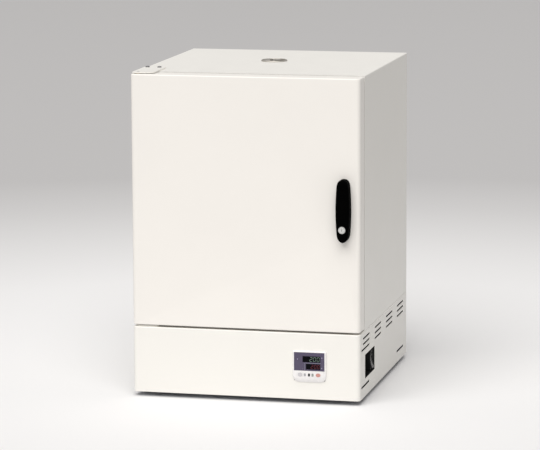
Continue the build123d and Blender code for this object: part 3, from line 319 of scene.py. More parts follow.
def enamel(name, colour):
    """Baked enamel: a faint orange peel, and a slow drift of tone."""
    paint = bpy.context.scene.sterilizer_paint
    made = Finish(name, colour, paint.roughness)
    made.tint(made.range(made.noise(0.22, 3), 0, 1), shade(colour, 0.985))
    made.dull(made.range(made.noise(0.05, 3), paint.roughness - 0.04, paint.roughness + 0.05))
    made.bump(made.noise(paint.peel, 1), 0.00006, 0.5)
    made.bump(made.noise(0.012, 1), 0.00008, 0.25)
    made.shader.inputs["Coat Weight"].default_value = 0.12
    made.shader.inputs["Coat Roughness"].default_value = 0.22
    return made


def door_enamel(name):
    return enamel(name, chosen("paint", "door"))


def cabinet_enamel(name):
    return enamel(name, chosen("paint", "cabinet"))


def base_enamel(name):
    """The cabinet's enamel outside, and a near-black painted shade on the faces inside the base, standing
    for the dark seen through its slots.
    """
    made = cabinet_enamel(name)
    low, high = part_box("base_shell")
    outwards = made.node("ShaderNodeVectorMath", operation="SUBTRACT")
    made.link(made.coordinates, outwards.inputs[0])
    outwards.inputs[1].default_value = (low + high) / 2
    facing = made.node("ShaderNodeVectorMath", operation="DOT_PRODUCT")
    made.link(outwards.outputs["Vector"], facing.inputs[0])
    made.link(made.coordinates.node.outputs["Normal"], facing.inputs[1])
    # Painted shade mask: the faces that point towards the middle of the base, which are its inside faces
    painted_shade_mask = made.node("ShaderNodeMath", operation="LESS_THAN")
    made.link(facing.outputs["Value"], painted_shade_mask.inputs[0])
    painted_shade_mask.inputs[1].default_value = 0.0
    outside_colour = made.shader.inputs["Base Color"].links[0].from_socket
    # The inside faces get the painted shade in place of the enamel
    made.tint(painted_shade_mask.outputs["Value"], chosen("paint", "primer"), outside_colour)
    return made


def brushed(name, colour, stretch, roughness):
    """Sheet with fine lines along one axis and finger-wide drifts of gloss."""
    grain = bpy.context.scene.sterilizer_metal.grain
    made = Finish(name, colour, roughness, 1.0)
    lines = made.noise(grain, 2, stretch, 0.6)
    made.tint(made.range(lines, 0, 1), shade(colour, 0.90), shade(colour, 1.05))
    made.dull(made.range(made.noise(0.06, 3), roughness - 0.05, roughness + 0.08))
    made.bump(lines, 0.00002, 0.35)
    made.shader.inputs["Anisotropic"].default_value = 0.4
    return made


def chamber_steel(name):
    return brushed(name, chosen("metal", "stainless"), (1, 0.02, 1), 0.30)


def panel_steel(name):
    return brushed(name, chosen("metal", "stainless"), (1, 1, 0.02), 0.28)


def fitting_steel(name):
    return brushed(name, chosen("metal", "stainless"), (0.3, 0.3, 0.05), 0.26)


def wire_steel(name):
    """Electropolished wire, a little cloudy in patches."""
    made = Finish(name, (0.70, 0.70, 0.69), 0.16, 1.0)
    made.tint(made.range(made.noise(0.03, 3), 0, 1), (0.60, 0.60, 0.59))
    made.dull(made.range(made.noise(0.01, 2), 0.12, 0.24))
    made.bump(made.noise(0.002, 1), 0.00003, 0.3)
    return made


def zinc_plate(name):
    """Plated steel with pale spangles."""
    colour = chosen("metal", "zinc")
    made = Finish(name, colour, 0.38, 1.0)
    made.tint(made.range(made.cells(0.006), 0, 1, 0.1, 0.9), shade(colour, 0.84))
    made.dull(made.range(made.noise(0.02, 3), 0.32, 0.48))
    made.bump(made.noise(0.0015, 2), 0.00003, 0.3)
    return made


def worn_zinc(name):
    """Zinc gone dull on screws that a tool has turned."""
    made = Finish(name, (0.22, 0.22, 0.225), 0.34, 0.9)
    made.tint(made.range(made.noise(0.003, 3), 0, 1), (0.34, 0.34, 0.34))
    made.dull(made.range(made.noise(0.002, 2), 0.28, 0.44))
    made.bump(made.noise(0.0008, 2), 0.00003, 0.3)
    return made


def heated_sheath(name):
    """A heater's sheath, darkened and straw-coloured where it runs hot."""
    colour = chosen("metal", "oxide")
    made = Finish(name, colour, 0.55, 0.8)
    made.tint(made.range(made.noise(0.03, 4), 0, 1), (0.20, 0.14, 0.09))
    made.dull(made.range(made.noise(0.004, 3), 0.45, 0.70))
    made.bump(made.noise(0.0008, 3), 0.00005, 0.6)
    return made


def fired_ceramic(name):
    made = Finish(name, (0.80, 0.77, 0.70), 0.62)
    made.tint(made.range(made.noise(0.003, 3), 0, 1), (0.70, 0.66, 0.58))
    made.bump(made.noise(0.0006, 3), 0.00006, 0.6)
    return made


def glass_wool(name):
    """Yellow wool, in long tangled fibres."""
    made = Finish(name, (0.74, 0.62, 0.26), 0.95)
    fibres = made.noise(0.004, 4, (1, 4, 1), 0.7, 1.5)
    made.tint(made.range(fibres, 0, 1), (0.55, 0.42, 0.14))
    made.bump(fibres, 0.002, 0.8)
    made.shader.inputs["Sheen Weight"].default_value = 0.3
    return made


def silicone(name):
    """Dark grey heat-proof silicone with a fine matte skin."""
    made = Finish(name, (0.035, 0.035, 0.037), 0.60)
    made.tint(made.range(made.noise(0.01, 3), 0, 1), (0.055, 0.054, 0.055))
    made.dull(made.range(made.noise(0.004, 2), 0.52, 0.72))
    made.bump(made.noise(0.0007, 2), 0.00005, 0.6)
    return made


def foot_rubber(name):
    made = Finish(name, (0.018, 0.018, 0.018), 0.72)
    made.tint(made.range(made.noise(0.006, 4), 0, 1), (0.040, 0.039, 0.037))
    made.bump(made.noise(0.0006, 3), 0.00008, 0.7)
    return made


def grained_plastic(name, colour, roughness=0.38):
    """Moulded plastic with a fine grain."""
    made = Finish(name, colour, roughness)
    made.tint(made.range(made.noise(0.02, 2), 0, 1), shade(colour, 1.25))
    made.dull(made.range(made.noise(0.008, 2), roughness - 0.05, roughness + 0.08))
    made.bump(made.cells(0.0007), 0.00004, 0.35)
    return made


def black_moulding(name):
    return grained_plastic(name, chosen("plastic", "black"), 0.34)


def handle_moulding(name):
    """Deep black with hardly any shine."""
    made = grained_plastic(name, chosen("plastic", "handle"), 0.50)
    made.shader.inputs["Specular IOR Level"].default_value = 0.02
    made.shader.inputs["IOR"].default_value = 1.2
    return made


def glossy_plastic(name, colour, roughness=0.16):
    made = Finish(name, colour, roughness)
    made.tint(made.range(made.noise(0.015, 2), 0, 1), shade(colour, 0.95))
    made.dull(made.range(made.noise(0.01, 2), roughness - 0.04, roughness + 0.08))
    made.bump(made.noise(0.004, 1), 0.00003, 0.25)
    return made


def rocker_plastic(name):
    return glossy_plastic(name, (0.03, 0.03, 0.032), 0.22)


def bezel_plastic(name):
    return glossy_plastic(name, chosen("plastic", "bezel"), 0.24)


def panel_film(name):
    """The printed film round the displays."""
    return glossy_plastic(name, chosen("plastic", "panel"), 0.20)


def display_glass(name):
    made = glossy_plastic(name, (0.002, 0.002, 0.004), 0.12)
    made.shader.inputs["Specular IOR Level"].default_value = 0.08
    return made


def printed_line(name):
    return glossy_plastic(name, (0.30, 0.33, 0.38), 0.35)


def lamp_lens(name):
    return glossy_plastic(name, (0.32, 0.29, 0.42), 0.20)


def pale_key(name):
    return glossy_plastic(name, (0.62, 0.60, 0.62), 0.35)


def small_pale_key(name):
    return glossy_plastic(name, (0.42, 0.42, 0.44), 0.35)


def black_key(name):
    return glossy_plastic(name, (0.03, 0.03, 0.032), 0.35)


def grey_green_key(name):
    return glossy_plastic(name, (0.33, 0.36, 0.33), 0.35)


def salmon_key(name):
    return glossy_plastic(name, (0.62, 0.30, 0.26), 0.35)


def lit_digits(name, colour):
    """Segments that glow a little."""
    made = glossy_plastic(name, colour, 0.3)
    made.shader.inputs["Emission Color"].default_value = (*colour, 1.0)
    made.shader.inputs["Emission Strength"].default_value = 0.45
    return made


def upper_segments(name):
    return lit_digits(name, chosen("plastic", "upper_digits"))


def lower_segments(name):
    return lit_digits(name, chosen("plastic", "lower_digits"))


def lock_chrome(name):
    """Plated brass, softly brushed round the keyway."""
    made = Finish(name, (0.86, 0.86, 0.84), 0.30, 0.55)
    made.tint(made.range(made.noise(0.002, 3), 0, 1), (0.78, 0.78, 0.76))
    made.dull(made.range(made.noise(0.001, 2), 0.18, 0.34))
    made.bump(made.noise(0.0005, 2), 0.00002, 0.3)
    return made


def sintered_brass(name):
    made = Finish(name, (0.56, 0.40, 0.18), 0.42, 1.0)
    made.tint(made.range(made.cells(0.0008), 0, 1, 0.1, 0.8), (0.40, 0.28, 0.12))
    made.bump(made.noise(0.0005, 2), 0.00004, 0.5)
    return made


def black_oxide(name):
    """Screws blackened in a bath, with bare metal on the worn spots."""
    made = Finish(name, (0.030, 0.030, 0.032), 0.40, 0.6)
    made.tint(made.range(made.noise(0.0012, 4), 0, 1, 0.45, 0.75), (0.12, 0.115, 0.11))
    made.dull(made.range(made.noise(0.001, 2), 0.32, 0.52))
    made.bump(made.noise(0.0006, 2), 0.00003, 0.4)
    return made


def vent_plate(name):
    """Satin plated steel, a little stained by warm air."""
    made = Finish(name, (0.54, 0.52, 0.48), 0.48, 0.7)
    made.tint(made.range(made.noise(0.012, 4), 0, 1), (0.44, 0.41, 0.37))
    made.dull(made.range(made.noise(0.005, 3), 0.42, 0.58))
    made.bump(made.noise(0.0008, 2), 0.00003, 0.4)
    return made


def board_laminate(name):
    made = Finish(name, (0.02, 0.16, 0.06), 0.35)
    traces = made.noise(0.004, 0, (1, 1, 4))
    made.tint(made.range(traces, 0, 1, 0.49, 0.51), (0.035, 0.24, 0.09))
    made.bump(traces, 0.00005, 0.4)
    return made


def extruded_aluminium(name):
    return brushed(name, (0.62, 0.63, 0.64), (1, 0.02, 1), 0.40)


def relay_casing(name):
    return grained_plastic(name, (0.30, 0.31, 0.32), 0.45)


def duct_steel(name):
    return brushed(name, chosen("metal", "stainless"), (1, 1, 0.1), 0.38)


def gland_nylon(name):
    return grained_plastic(name, (0.016, 0.016, 0.017), 0.42)


finish_nodes = {
    cabinet_enamel: (
        "outer_casing",
        "rear_cover",
        "front_frame",
        "base_rear_panel",
        "upper_hinge_plate",
        "lower_hinge_bracket",
    ),
    base_enamel: ("base_shell",),
    door_enamel: ("door_skin",),
    zinc_plate: ("base_floor", "catch_strikes", "lock_keeper", "lock_cam"),
    fitting_steel: ("hinge_pins", "shelf_clips", "temperature_probe", "overheat_probe"),
    chamber_steel: ("chamber_liner", "heater_cover_plate"),
    panel_steel: ("shelf_posts", "door_inner_panel"),
    duct_steel: ("exhaust_duct",),
    wire_steel: ("lower_shelf", "upper_shelf"),
    heated_sheath: ("heater_elements",),
    fired_ceramic: ("heater_bushings",),
    glass_wool: ("chamber_insulation", "door_insulation"),
    silicone: ("door_gasket",),
    foot_rubber: ("feet",),
    vent_plate: ("vent_flange", "damper_disc"),
    handle_moulding: ("handle_grip",),
    black_moulding: ("switch_pocket", "switch_body", "controller_case"),
    gland_nylon: ("cord_gland", "magnet_catches", "terminal_block"),
    rocker_plastic: ("power_rocker",),
    lock_chrome: ("lock_core", "lock_housing"),
    sintered_brass: ("hinge_bushes",),
    bezel_plastic: ("controller_bezel",),
    pale_key: ("key_mode",),
    small_pale_key: ("key_left",),
    black_key: ("key_down",),
    grey_green_key: ("key_up",),
    salmon_key: ("key_run",),
    board_laminate: ("circuit_board",),
    extruded_aluminium: ("relay_heatsink",),
    relay_casing: ("solid_state_relay", "overheat_thermostat"),
    black_oxide: ("foot_screws", "handle_screws", "hinge_screws", "rear_screws"),
    panel_film: ("controller_window",),
}
node_finishes = {node: maker for maker, nodes in finish_nodes.items() for node in nodes}


# Meshes


MERGE_DISTANCE = 1e-6
PACKED_MERGE_DISTANCE = 2e-6
FLAT_ANGLE = math.radians(0.3)


def add_object(name, mesh):
    made = bpy.data.objects.new(name, mesh)
    bpy.context.scene.collection.objects.link(made)
    return made


def mesh_from(name, points, faces):
    mesh = bpy.data.meshes.new(name)
    mesh.from_pydata(points, [], faces)
    mesh.validate()
    return mesh


def dress(piece, maker, body, *nodes):
    """Gives a new piece its finish and its body, and hides the nodes that it stands for."""
    piece.data.materials.clear()
    piece.data.materials.append(finish(maker.__name__, maker))
    if nodes:
        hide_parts(*nodes)
    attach(piece, body)
    return piece


def smooth(mesh, angle):
    """Smooth shading, with edges over the angle in degrees left sharp."""
    mesh.shade_smooth()
    mesh.set_sharp_from_angle(angle=math.radians(angle))


def lathe(name, profile, steps=32):
    """A closed turned form about Z. The profile starts and ends on the axis."""
    points = []
    faces = []
    rings = []
    for radius, height in profile:
        if radius == 0:
            rings.append([len(points)])
            points.append((0.0, 0.0, height))
            continue
        rings.append(list(range(len(points), len(points) + steps)))
        for i in range(steps):
            turn = 2 * math.pi * i / steps
            points.append((radius * math.cos(turn), radius * math.sin(turn), height))
    for low, high in zip(rings, rings[1:]):
        for i in range(steps):
            j = (i + 1) % steps
            if len(low) == 1:
                faces.append((low[0], high[j], high[i]))
            elif len(high) == 1:
                faces.append((low[i], low[j], high[0]))
            else:
                faces.append((low[i], low[j], high[j], high[i]))
    return mesh_from(name, points, faces)


def outward(mesh):
    """Merges what touches, and turns every face out."""
    shape = bmesh.new()
    shape.from_mesh(mesh)
    bmesh.ops.remove_doubles(shape, verts=shape.verts, dist=MERGE_DISTANCE)
    bmesh.ops.recalc_face_normals(shape, faces=shape.faces)
    shape.to_mesh(mesh)
    shape.free()
    return mesh


def settle(piece):
    """Turns a piece with modifiers into a plain mesh."""
    depsgraph = bpy.context.evaluated_depsgraph_get()
    mesh = bpy.data.meshes.new_from_object(piece.evaluated_get(depsgraph), depsgraph=depsgraph)
    piece.modifiers.clear()
    old = piece.data
    piece.data = mesh
    bpy.data.meshes.remove(old)
    mesh.name = piece.name
    return piece


def cut(piece, tool):
    """Takes the tool's form out of the piece, and removes the tool."""
    modifier = piece.modifiers.new("Cut", "BOOLEAN")
    modifier.operation = "DIFFERENCE"
    modifier.solver = "EXACT"
    modifier.object = tool
    bpy.context.view_layer.update()
    settle(piece)
    bpy.data.objects.remove(tool)
    return piece


def boxes_mesh(name, *boxes):
    """A mesh of boxes, each given by two opposite corners."""
    sides = ((0, 1, 3, 2), (4, 6, 7, 5), (0, 4, 5, 1), (2, 3, 7, 6), (0, 2, 6, 4), (1, 5, 7, 3))
    points = []
    faces = []
    for low, high in boxes:
        first = len(points)
        points += itertools.product(*zip(low, high))
        faces += [tuple(first + index for index in side) for side in sides]
    return mesh_from(name, points, faces)


def smooth_copy(node, angle):
    """A merged and smoothly shaded copy of a node, which it stands for."""
    piece = add_object(node + "_finish", frame["nodes"][node].data.copy())
    shape = bmesh.new()
    shape.from_mesh(piece.data)
    bmesh.ops.remove_doubles(shape, verts=shape.verts, dist=PACKED_MERGE_DISTANCE)
    bmesh.ops.dissolve_limit(shape, angle_limit=FLAT_ANGLE, verts=shape.verts, edges=shape.edges)
    shape.to_mesh(piece.data)
    shape.free()
    smooth(piece.data, angle)
    return dress(piece, node_finishes[node], node_body[node], node)


# Geometry nodes


def instance_tree(name):
    """Puts a template on every point, turned so that its Z follows the attribute called way."""
    tree = bpy.data.node_groups.new(name, "GeometryNodeTree")
    face = tree.interface
    face.new_socket("Geometry", in_out="INPUT", socket_type="NodeSocketGeometry")
    face.new_socket("Template", in_out="INPUT", socket_type="NodeSocketObject")
    face.new_socket("Size", in_out="INPUT", socket_type="NodeSocketFloat").default_value = 1.0
    face.new_socket("Turn", in_out="INPUT", socket_type="NodeSocketFloat")
    face.new_socket("Finish", in_out="INPUT", socket_type="NodeSocketMaterial")
    face.new_socket("Geometry", in_out="OUTPUT", socket_type="NodeSocketGeometry")
    nodes = tree.nodes
    start = nodes.new("NodeGroupInput")
    end = nodes.new("NodeGroupOutput")
    info = nodes.new("GeometryNodeObjectInfo")
    way = nodes.new("GeometryNodeInputNamedAttribute")
    way.data_type = "FLOAT_VECTOR"
    way.inputs["Name"].default_value = "way"
    align = nodes.new("FunctionNodeAlignRotationToVector")
    align.axis = "Z"
    spin = nodes.new("FunctionNodeAxisAngleToRotation")
    turned = nodes.new("FunctionNodeRotateRotation")
    turned.rotation_space = "LOCAL"
    points = nodes.new("GeometryNodeMeshToPoints")
    place = nodes.new("GeometryNodeInstanceOnPoints")
    real = nodes.new("GeometryNodeRealizeInstances")
    coat = nodes.new("GeometryNodeSetMaterial")
    for source, output, target, entry in (
        (start, "Geometry", points, "Mesh"),
        (points, "Points", place, "Points"),
        (start, "Template", info, "Object"),
        (info, "Geometry", place, "Instance"),
        (way, "Attribute", align, "Vector"),
        (start, "Turn", spin, "Angle"),
        (align, "Rotation", turned, "Rotation"),
        (spin, "Rotation", turned, "Rotate By"),
        (turned, "Rotation", place, "Rotation"),
        (start, "Size", place, "Scale"),
        (place, "Instances", real, "Geometry"),
        (real, "Geometry", coat, "Geometry"),
        (start, "Finish", coat, "Material"),
        (coat, "Geometry", end, "Geometry"),
    ):
        tree.links.new(source.outputs[output], target.inputs[entry])
    return tree


def set_inputs(modifier, values):
    """Sets a geometry tree's inputs by the identifiers of their sockets."""
    for item in modifier.node_group.interface.items_tree:
        if item.item_type == "SOCKET" and item.in_out == "INPUT" and item.name in values:
            modifier[item.identifier] = values[item.name]


def repeat(name, template, places, maker, body, turn=0.0, size=1.0, nodes=()):
    """One piece that holds a copy of the template at every (point, direction)."""
    mesh = mesh_from(name, [point for point, _ in places], [])
    attribute = mesh.attributes.new("way", "FLOAT_VECTOR", "POINT")
    for item, (_, way) in zip(attribute.data, places):
        item.vector = way
    piece = add_object(name, mesh)
    coat = finish(maker.__name__, maker)
    modifier = piece.modifiers.new("Repeat", "NODES")
    modifier.node_group = instance_tree(name + "_repeat")
    set_inputs(modifier, {"Template": template, "Size": size, "Turn": turn, "Finish": coat})
    bpy.context.view_layer.update()
    settle(piece)
    if nodes:
        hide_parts(*nodes)
    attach(piece, body)
    return piece


def drop(*pieces):
    """Removes templates that are no longer needed."""
    for piece in pieces:
        bpy.data.objects.remove(piece)


# Screws


SHANK = 3 * MM
FLAT_SHANK = 2 * MM
SMALL_SHANK = 0.8 * MM


def cross_head(name, radius, height, shank, slot):
    """A pan head with a cross recess and a short shank. Its seat is at Z 0."""
    profile = [
        (0, -shank),
        (radius * 0.40, -shank),
        (radius * 0.44, -shank + radius * 0.1),
        (radius * 0.44, 0),
        (radius * 0.94, 0),
        (radius, height * 0.10),
        (radius, height * 0.38),
        (radius * 0.93, height * 0.66),
        (radius * 0.74, height * 0.88),
        (radius * 0.45, height * 0.98),
        (0, height),
    ]
    head = add_object(name, outward(lathe(name, profile, 28)))
    reach = radius * 0.56
    half = slot / 2
    for x, y in ((reach, half), (half, reach)):
        arm = boxes_mesh("recess", ((-x, -y, height * 0.30), (x, y, height * 1.5)))
        cut(head, add_object("recess", outward(arm)))
    smooth(head.data, 32)
    return head


def solid_boxes(node):
    """The box of each loose solid of a node."""
    shape = bmesh.new()
    shape.from_mesh(frame["nodes"][node].data)
    bmesh.ops.remove_doubles(shape, verts=shape.verts, dist=PACKED_MERGE_DISTANCE)
    found = []
    seen = set()
    for start in shape.verts:
        if start.index in seen:
            continue
        island = []
        queue = [start]
        seen.add(start.index)
        while queue:
            vertex = queue.pop()
            island.append(vertex.co.copy())
            for edge in vertex.link_edges:
                other = edge.other_vert(vertex)
                if other.index not in seen:
                    seen.add(other.index)
                    queue.append(other)
        low = Vector(min(point[i] for point in island) for i in range(3))
        high = Vector(max(point[i] for point in island) for i in range(3))
        found.append((low, high))
    shape.free()
    return sorted(found, key=lambda corners: tuple(round(value, 5) for value in corners[0]))


# Displays


class Display:
    """A display and its digits, in millimetres from the lower left corner of the controller's film."""

    def __init__(self, name, left, right, low, high, middle, digit, pitch):
        corner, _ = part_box("controller_window")
        self.name = name
        self.left = corner.x + left * MM
        self.right = corner.x + right * MM
        self.low = corner.z + low * MM
        self.high = corner.z + high * MM
        self.middle = corner.x + middle * MM
        self.digit_width = digit[0] * MM
        self.digit_height = digit[1] * MM
        self.pitch = pitch * MM


upper_display = Display("upper", 21.2, 65.7, 21.0, 36.2, middle=51.2, digit=(5.4, 10.4), pitch=9.0)
lower_display = Display("lower", 29.7, 65.7, 3.4, 17.4, middle=52.7, digit=(4.6, 9.0), pitch=7.8)

# Across and up from the same corner, in millimetres
lamp_places = ((8.7, 28.4), (69.3, 32.9), (68.9, 7.4))

# Which segments each digit lights
SEGMENTS = {
    "0": "abcdef",
    "1": "bc",
    "2": "abged",
    "3": "abgcd",
    "4": "fgbc",
    "5": "afgcd",
    "6": "afgedc",
    "7": "abc",
    "8": "abcdefg",
    "9": "abcdfg",
}

# Place of each segment as shares of a digit's width and height, and whether it stands upright
SEGMENT_SPOTS = {
    "a": (0, 0.5, False),
    "b": (0.5, 0.25, True),
    "c": (0.5, -0.25, True),
    "d": (0, -0.5, False),
    "e": (-0.5, -0.25, True),
    "f": (-0.5, 0.25, True),
    "g": (0, 0, False),
}


def segment_places(number, display, y, slant):
    """Middle and direction of every level and every upright segment that a number lights."""
    level = []
    upright = []
    text = str(number)
    for index, digit in enumerate(text):
        middle = display.middle + (index - (len(text) - 1) / 2) * display.pitch
        for key in SEGMENTS[digit]:
            across, up, stands = SEGMENT_SPOTS[key]
            x = middle + across * display.digit_width + up * display.digit_height * slant
            point = (x, y, (display.low + display.high) / 2 + up * display.digit_height)
            if stands:
                upright.append((point, (slant, 0, 1)))
            else:
                level.append((point, (1, 0, 0)))
    return level, upright


def segment_template(name, length, thick, deep):
    """A bar with pointed ends, along Z, a little short so that segments stay apart."""
    half = length / 2 - thick * 0.1
    side = thick / 2
    shoulder = half - side
    outline = [
        (0, -half),
        (side, -shoulder),
        (side, shoulder),
        (0, half),
        (-side, shoulder),
        (-side, -shoulder),
    ]
    points = [(x, y, z) for y in (-deep / 2, deep / 2) for x, z in outline]
    count = len(outline)
    faces = [tuple(range(count)), tuple(reversed(range(count, 2 * count)))]
    faces += [(i, (i + 1) % count, count + (i + 1) % count, count + i) for i in range(count)]
    return add_object(name, outward(mesh_from(name, points, faces)))


def relief_plate(name, across, up, levels, back):
    """A plate facing -Y, whose front has one level in each cell of a grid."""
    points = []
    faces = []

    def quad(*corners):
        faces.append(tuple(range(len(points), len(points) + len(corners))))
        points.extend(corners)

    columns = len(across) - 1
    rows = len(up) - 1
    for i in range(columns):
        for j in range(rows):
            left, right = across[i], across[i + 1]
            low, high = up[j], up[j + 1]
            y = levels[i][j]
            quad((left, y, low), (right, y, low), (right, y, high), (left, y, high))
            quad((left, back, high), (right, back, high), (right, back, low), (left, back, low))
            near_right = levels[i + 1][j] if i + 1 < columns else back
            near_high = levels[i][j + 1] if j + 1 < rows else back
            if near_right != y:
                quad((right, y, low), (right, near_right, low), (right, near_right, high), (right, y, high))
            if near_high != y:
                quad((left, y, high), (right, y, high), (right, near_high, high), (left, near_high, high))
            if i == 0:
                quad((left, back, low), (left, y, low), (left, y, high), (left, back, high))
            if j == 0:
                quad((left, back, low), (right, back, low), (right, y, low), (left, y, low))
    return outward(mesh_from(name, points, faces))


# Operators


class SceneOperator(bpy.types.Operator):
    """One step of the dressing"""

    bl_options = {"REGISTER", "UNDO"}


class STERILIZER_OT_finishes(SceneOperator):
    """Give every rigid piece its finish"""

    bl_idname = "sterilizer.finishes"
    bl_label = "Finishes"

    def execute(self, context):
        missing = set(frame["nodes"]) - set(node_finishes)
        if missing:
            raise RuntimeError(f"no finish for {sorted(missing)}")
        for node, maker in node_finishes.items():
            piece = frame["nodes"][node]
            coat = finish(maker.__name__, maker)
            for slot in piece.material_slots:
                slot.material = coat
        return {"FINISHED"}


class STERILIZER_OT_mouldings(SceneOperator):
    """Smooth the pieces that have curved faces"""

    bl_idname = "sterilizer.mouldings"
    bl_label = "Mouldings"

    def execute(self, context):
        bent_sheet = 30
        moulded = 40
        for node in ("handle_grip", "controller_bezel", "feet", "door_gasket", "power_rocker"):
            smooth_copy(node, moulded)
        for node in ("door_skin", "outer_casing", "base_shell", "upper_hinge_plate", "vent_flange"):
            smooth_copy(node, bent_sheet)
        for node in ("heater_elements", "lower_shelf", "upper_shelf", "door_inner_panel", "chamber_liner"):
            smooth_copy(node, moulded)
        for node in ("lock_core", "key_mode", "key_left", "key_down", "key_up", "key_run"):
            smooth_copy(node, moulded)
        return {"FINISHED"}


class STERILIZER_OT_screws(SceneOperator):
    """Put cross-headed screws where the model has plain ones"""

    bl_idname = "sterilizer.screws"
    bl_label = "Screws"

    def execute(self, context):
        sizes = context.scene.sterilizer_fasteners
        rearwards = Vector((0, 1, 0))
        heads = (
            ("rear_screws", rearwards, sizes.rear_height),
            ("foot_screws", Vector((0, 0, -1)), sizes.pan_height),
            ("handle_screws", rearwards, sizes.pan_height),
        )
        for node, way, height in heads:
            template = cross_head("head", sizes.pan_radius, height, SHANK, sizes.slot_width)
            places = [(self.seat(low, high, way, height), way) for low, high in solid_boxes(node)]
            repeat(node + "_heads", template, places, black_oxide, node_body[node], turn=0.5, nodes=(node,))
            drop(template)
        self.hinge_screws(sizes)
        self.door_screws(sizes, rearwards)
        return {"FINISHED"}

    def seat(self, low, high, way, height):
        """Where a head sits, so that its top is level with the top of the model's screw."""
        axis = [abs(value) for value in way].index(1)
        top = high[axis] if way[axis] > 0 else low[axis]
        place = (low + high) / 2
        place[axis] = top - way[axis] * height
        return place

    def hinge_screws(self, sizes):
        """Pan heads on the upper plate, and flat heads sunk in the lower bracket."""
        upwards = Vector((0, 0, 1))
        _, plate_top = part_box("upper_hinge_plate")
        wide_slot = sizes.slot_width * 1.3
        fine_slot = sizes.slot_width * 0.8
        pan = cross_head("pan", sizes.hinge_radius, sizes.hinge_height, SHANK, wide_slot)
        flat = cross_head("flat", sizes.flat_radius, sizes.flat_height, FLAT_SHANK, fine_slot)
        above = []
        below = []
        for low, high in solid_boxes("hinge_screws"):
            middle = (low + high) / 2
            if high.z > plate_top.z:
                above.append(((middle.x, middle.y, plate_top.z), upwards))
            else:
                below.append(((middle.x, middle.y, high.z - sizes.flat_height), upwards))
        repeat("hinge_screw_heads", pan, above, worn_zinc, "cabinet", turn=0.35, nodes=("hinge_screws",))
        repeat("bracket_screw_heads", flat, below, black_oxide, "cabinet", turn=0.2)
        drop(pan, flat)

    def door_screws(self, sizes, way):
        """Small screws along the sides of the door's inner panel."""
        low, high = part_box("door_inner_panel")
        _, skin_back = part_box("door_skin")
        slot = sizes.slot_width * 0.8
        template = cross_head("small", sizes.small_radius, sizes.small_height, SMALL_SHANK, slot)
        first = low.z + sizes.small_end
        pitch = (high.z - sizes.small_end - first) / (sizes.small_count - 1)
        places = [
            ((x, skin_back.y, first + i * pitch), way)
            for x in (low.x + sizes.small_inset, high.x - sizes.small_inset)
            for i in range(sizes.small_count)
        ]
        repeat("inner_panel_screws", template, places, fitting_steel, "door", turn=0.6)
        drop(template)


class STERILIZER_OT_controller(SceneOperator):
    """Make the controller's film, its displays, digits and lamps"""

    bl_idname = "sterilizer.controller"
    bl_label = "Controller"

    def execute(self, context):
        values = context.scene.sterilizer_displays
        low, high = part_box("controller_window")
        sunk = low.y + values.recess
        self.film(low, high, sunk)
        for display in (upper_display, lower_display):
            self.pane(display, sunk)
        self.digits(upper_display, values.upper_value, upper_segments, sunk, values)
        self.digits(lower_display, values.lower_value, lower_segments, sunk, values)
        self.lamps(low, values.lamp)
        self.printed_line(low.y, values.line)
        return {"FINISHED"}

    def film(self, low, high, sunk):
        """The printed film, one step deeper where the two displays are."""
        across = [low.x, upper_display.left, lower_display.left, upper_display.right, high.x]
        up = [low.z, lower_display.low, lower_display.high, upper_display.low, upper_display.high, high.z]
        levels = [[low.y] * (len(up) - 1) for _ in across[1:]]
        for column, row in ((1, 3), (2, 3), (2, 1)):
            levels[column][row] = sunk
        film = add_object("controller_film", relief_plate("controller_film", across, up, levels, high.y))
        dress(film, panel_film, "cabinet", "controller_window")

    def pane(self, display, sunk):
        """The dark glass at the bottom of a display."""
        name = display.name + "_display"
        margin = 0.05 * MM
        front = sunk - 0.15 * MM
        back = sunk - 0.01 * MM
        low = (display.left + margin, front, display.low + margin)
        high = (display.right - margin, back, display.high - margin)
        dress(add_object(name, outward(boxes_mesh(name, (low, high)))), display_glass, "cabinet")

    def digits(self, display, number, maker, sunk, values):
        """The lit segments of a number, as one level and one upright piece."""
        front = sunk - 0.2 * MM
        thickness = 0.1 * MM
        gap = 0.5 * MM
        level, upright = segment_places(number, display, front, values.slant)
        for kind, places, reach in (
            ("level", level, display.digit_width),
            ("upright", upright, display.digit_height / 2),
        ):
            template = segment_template("segment", reach - gap, values.stroke, thickness)
            repeat(f"{display.name}_{kind}_segments", template, places, maker, "cabinet")
            drop(template)

    def lamps(self, corner, radius):
        """Small round lamps beside the displays."""
        profile = [(0, 0), (radius, 0), (radius - 0.2 * MM, 0.25 * MM), (0, 0.45 * MM)]
        template = add_object("lens", outward(lathe("lens", profile, 24)))
        forwards = Vector((0, -1, 0))
        places = [((corner.x + x * MM, corner.y, corner.z + z * MM), forwards) for x, z in lamp_places]
        repeat("indicator_lamps", template, places, lamp_lens, "cabinet")
        drop(template)

    def printed_line(self, face, width):
        """The thin line to the left of the lower display and above it."""
        left = lower_display.left - 3.2 * MM
        right = lower_display.right + 1.0 * MM
        low = lower_display.low - 1.2 * MM
        high = lower_display.high + 2.0 * MM
        front = face - 0.03 * MM
        upright = ((left, front, low), (left + width, face, high))
        level = ((left + width, front, high - width), (right, face, high))
        line = add_object("display_line", outward(boxes_mesh("display_line", upright, level)))
        dress(line, printed_line, "cabinet")


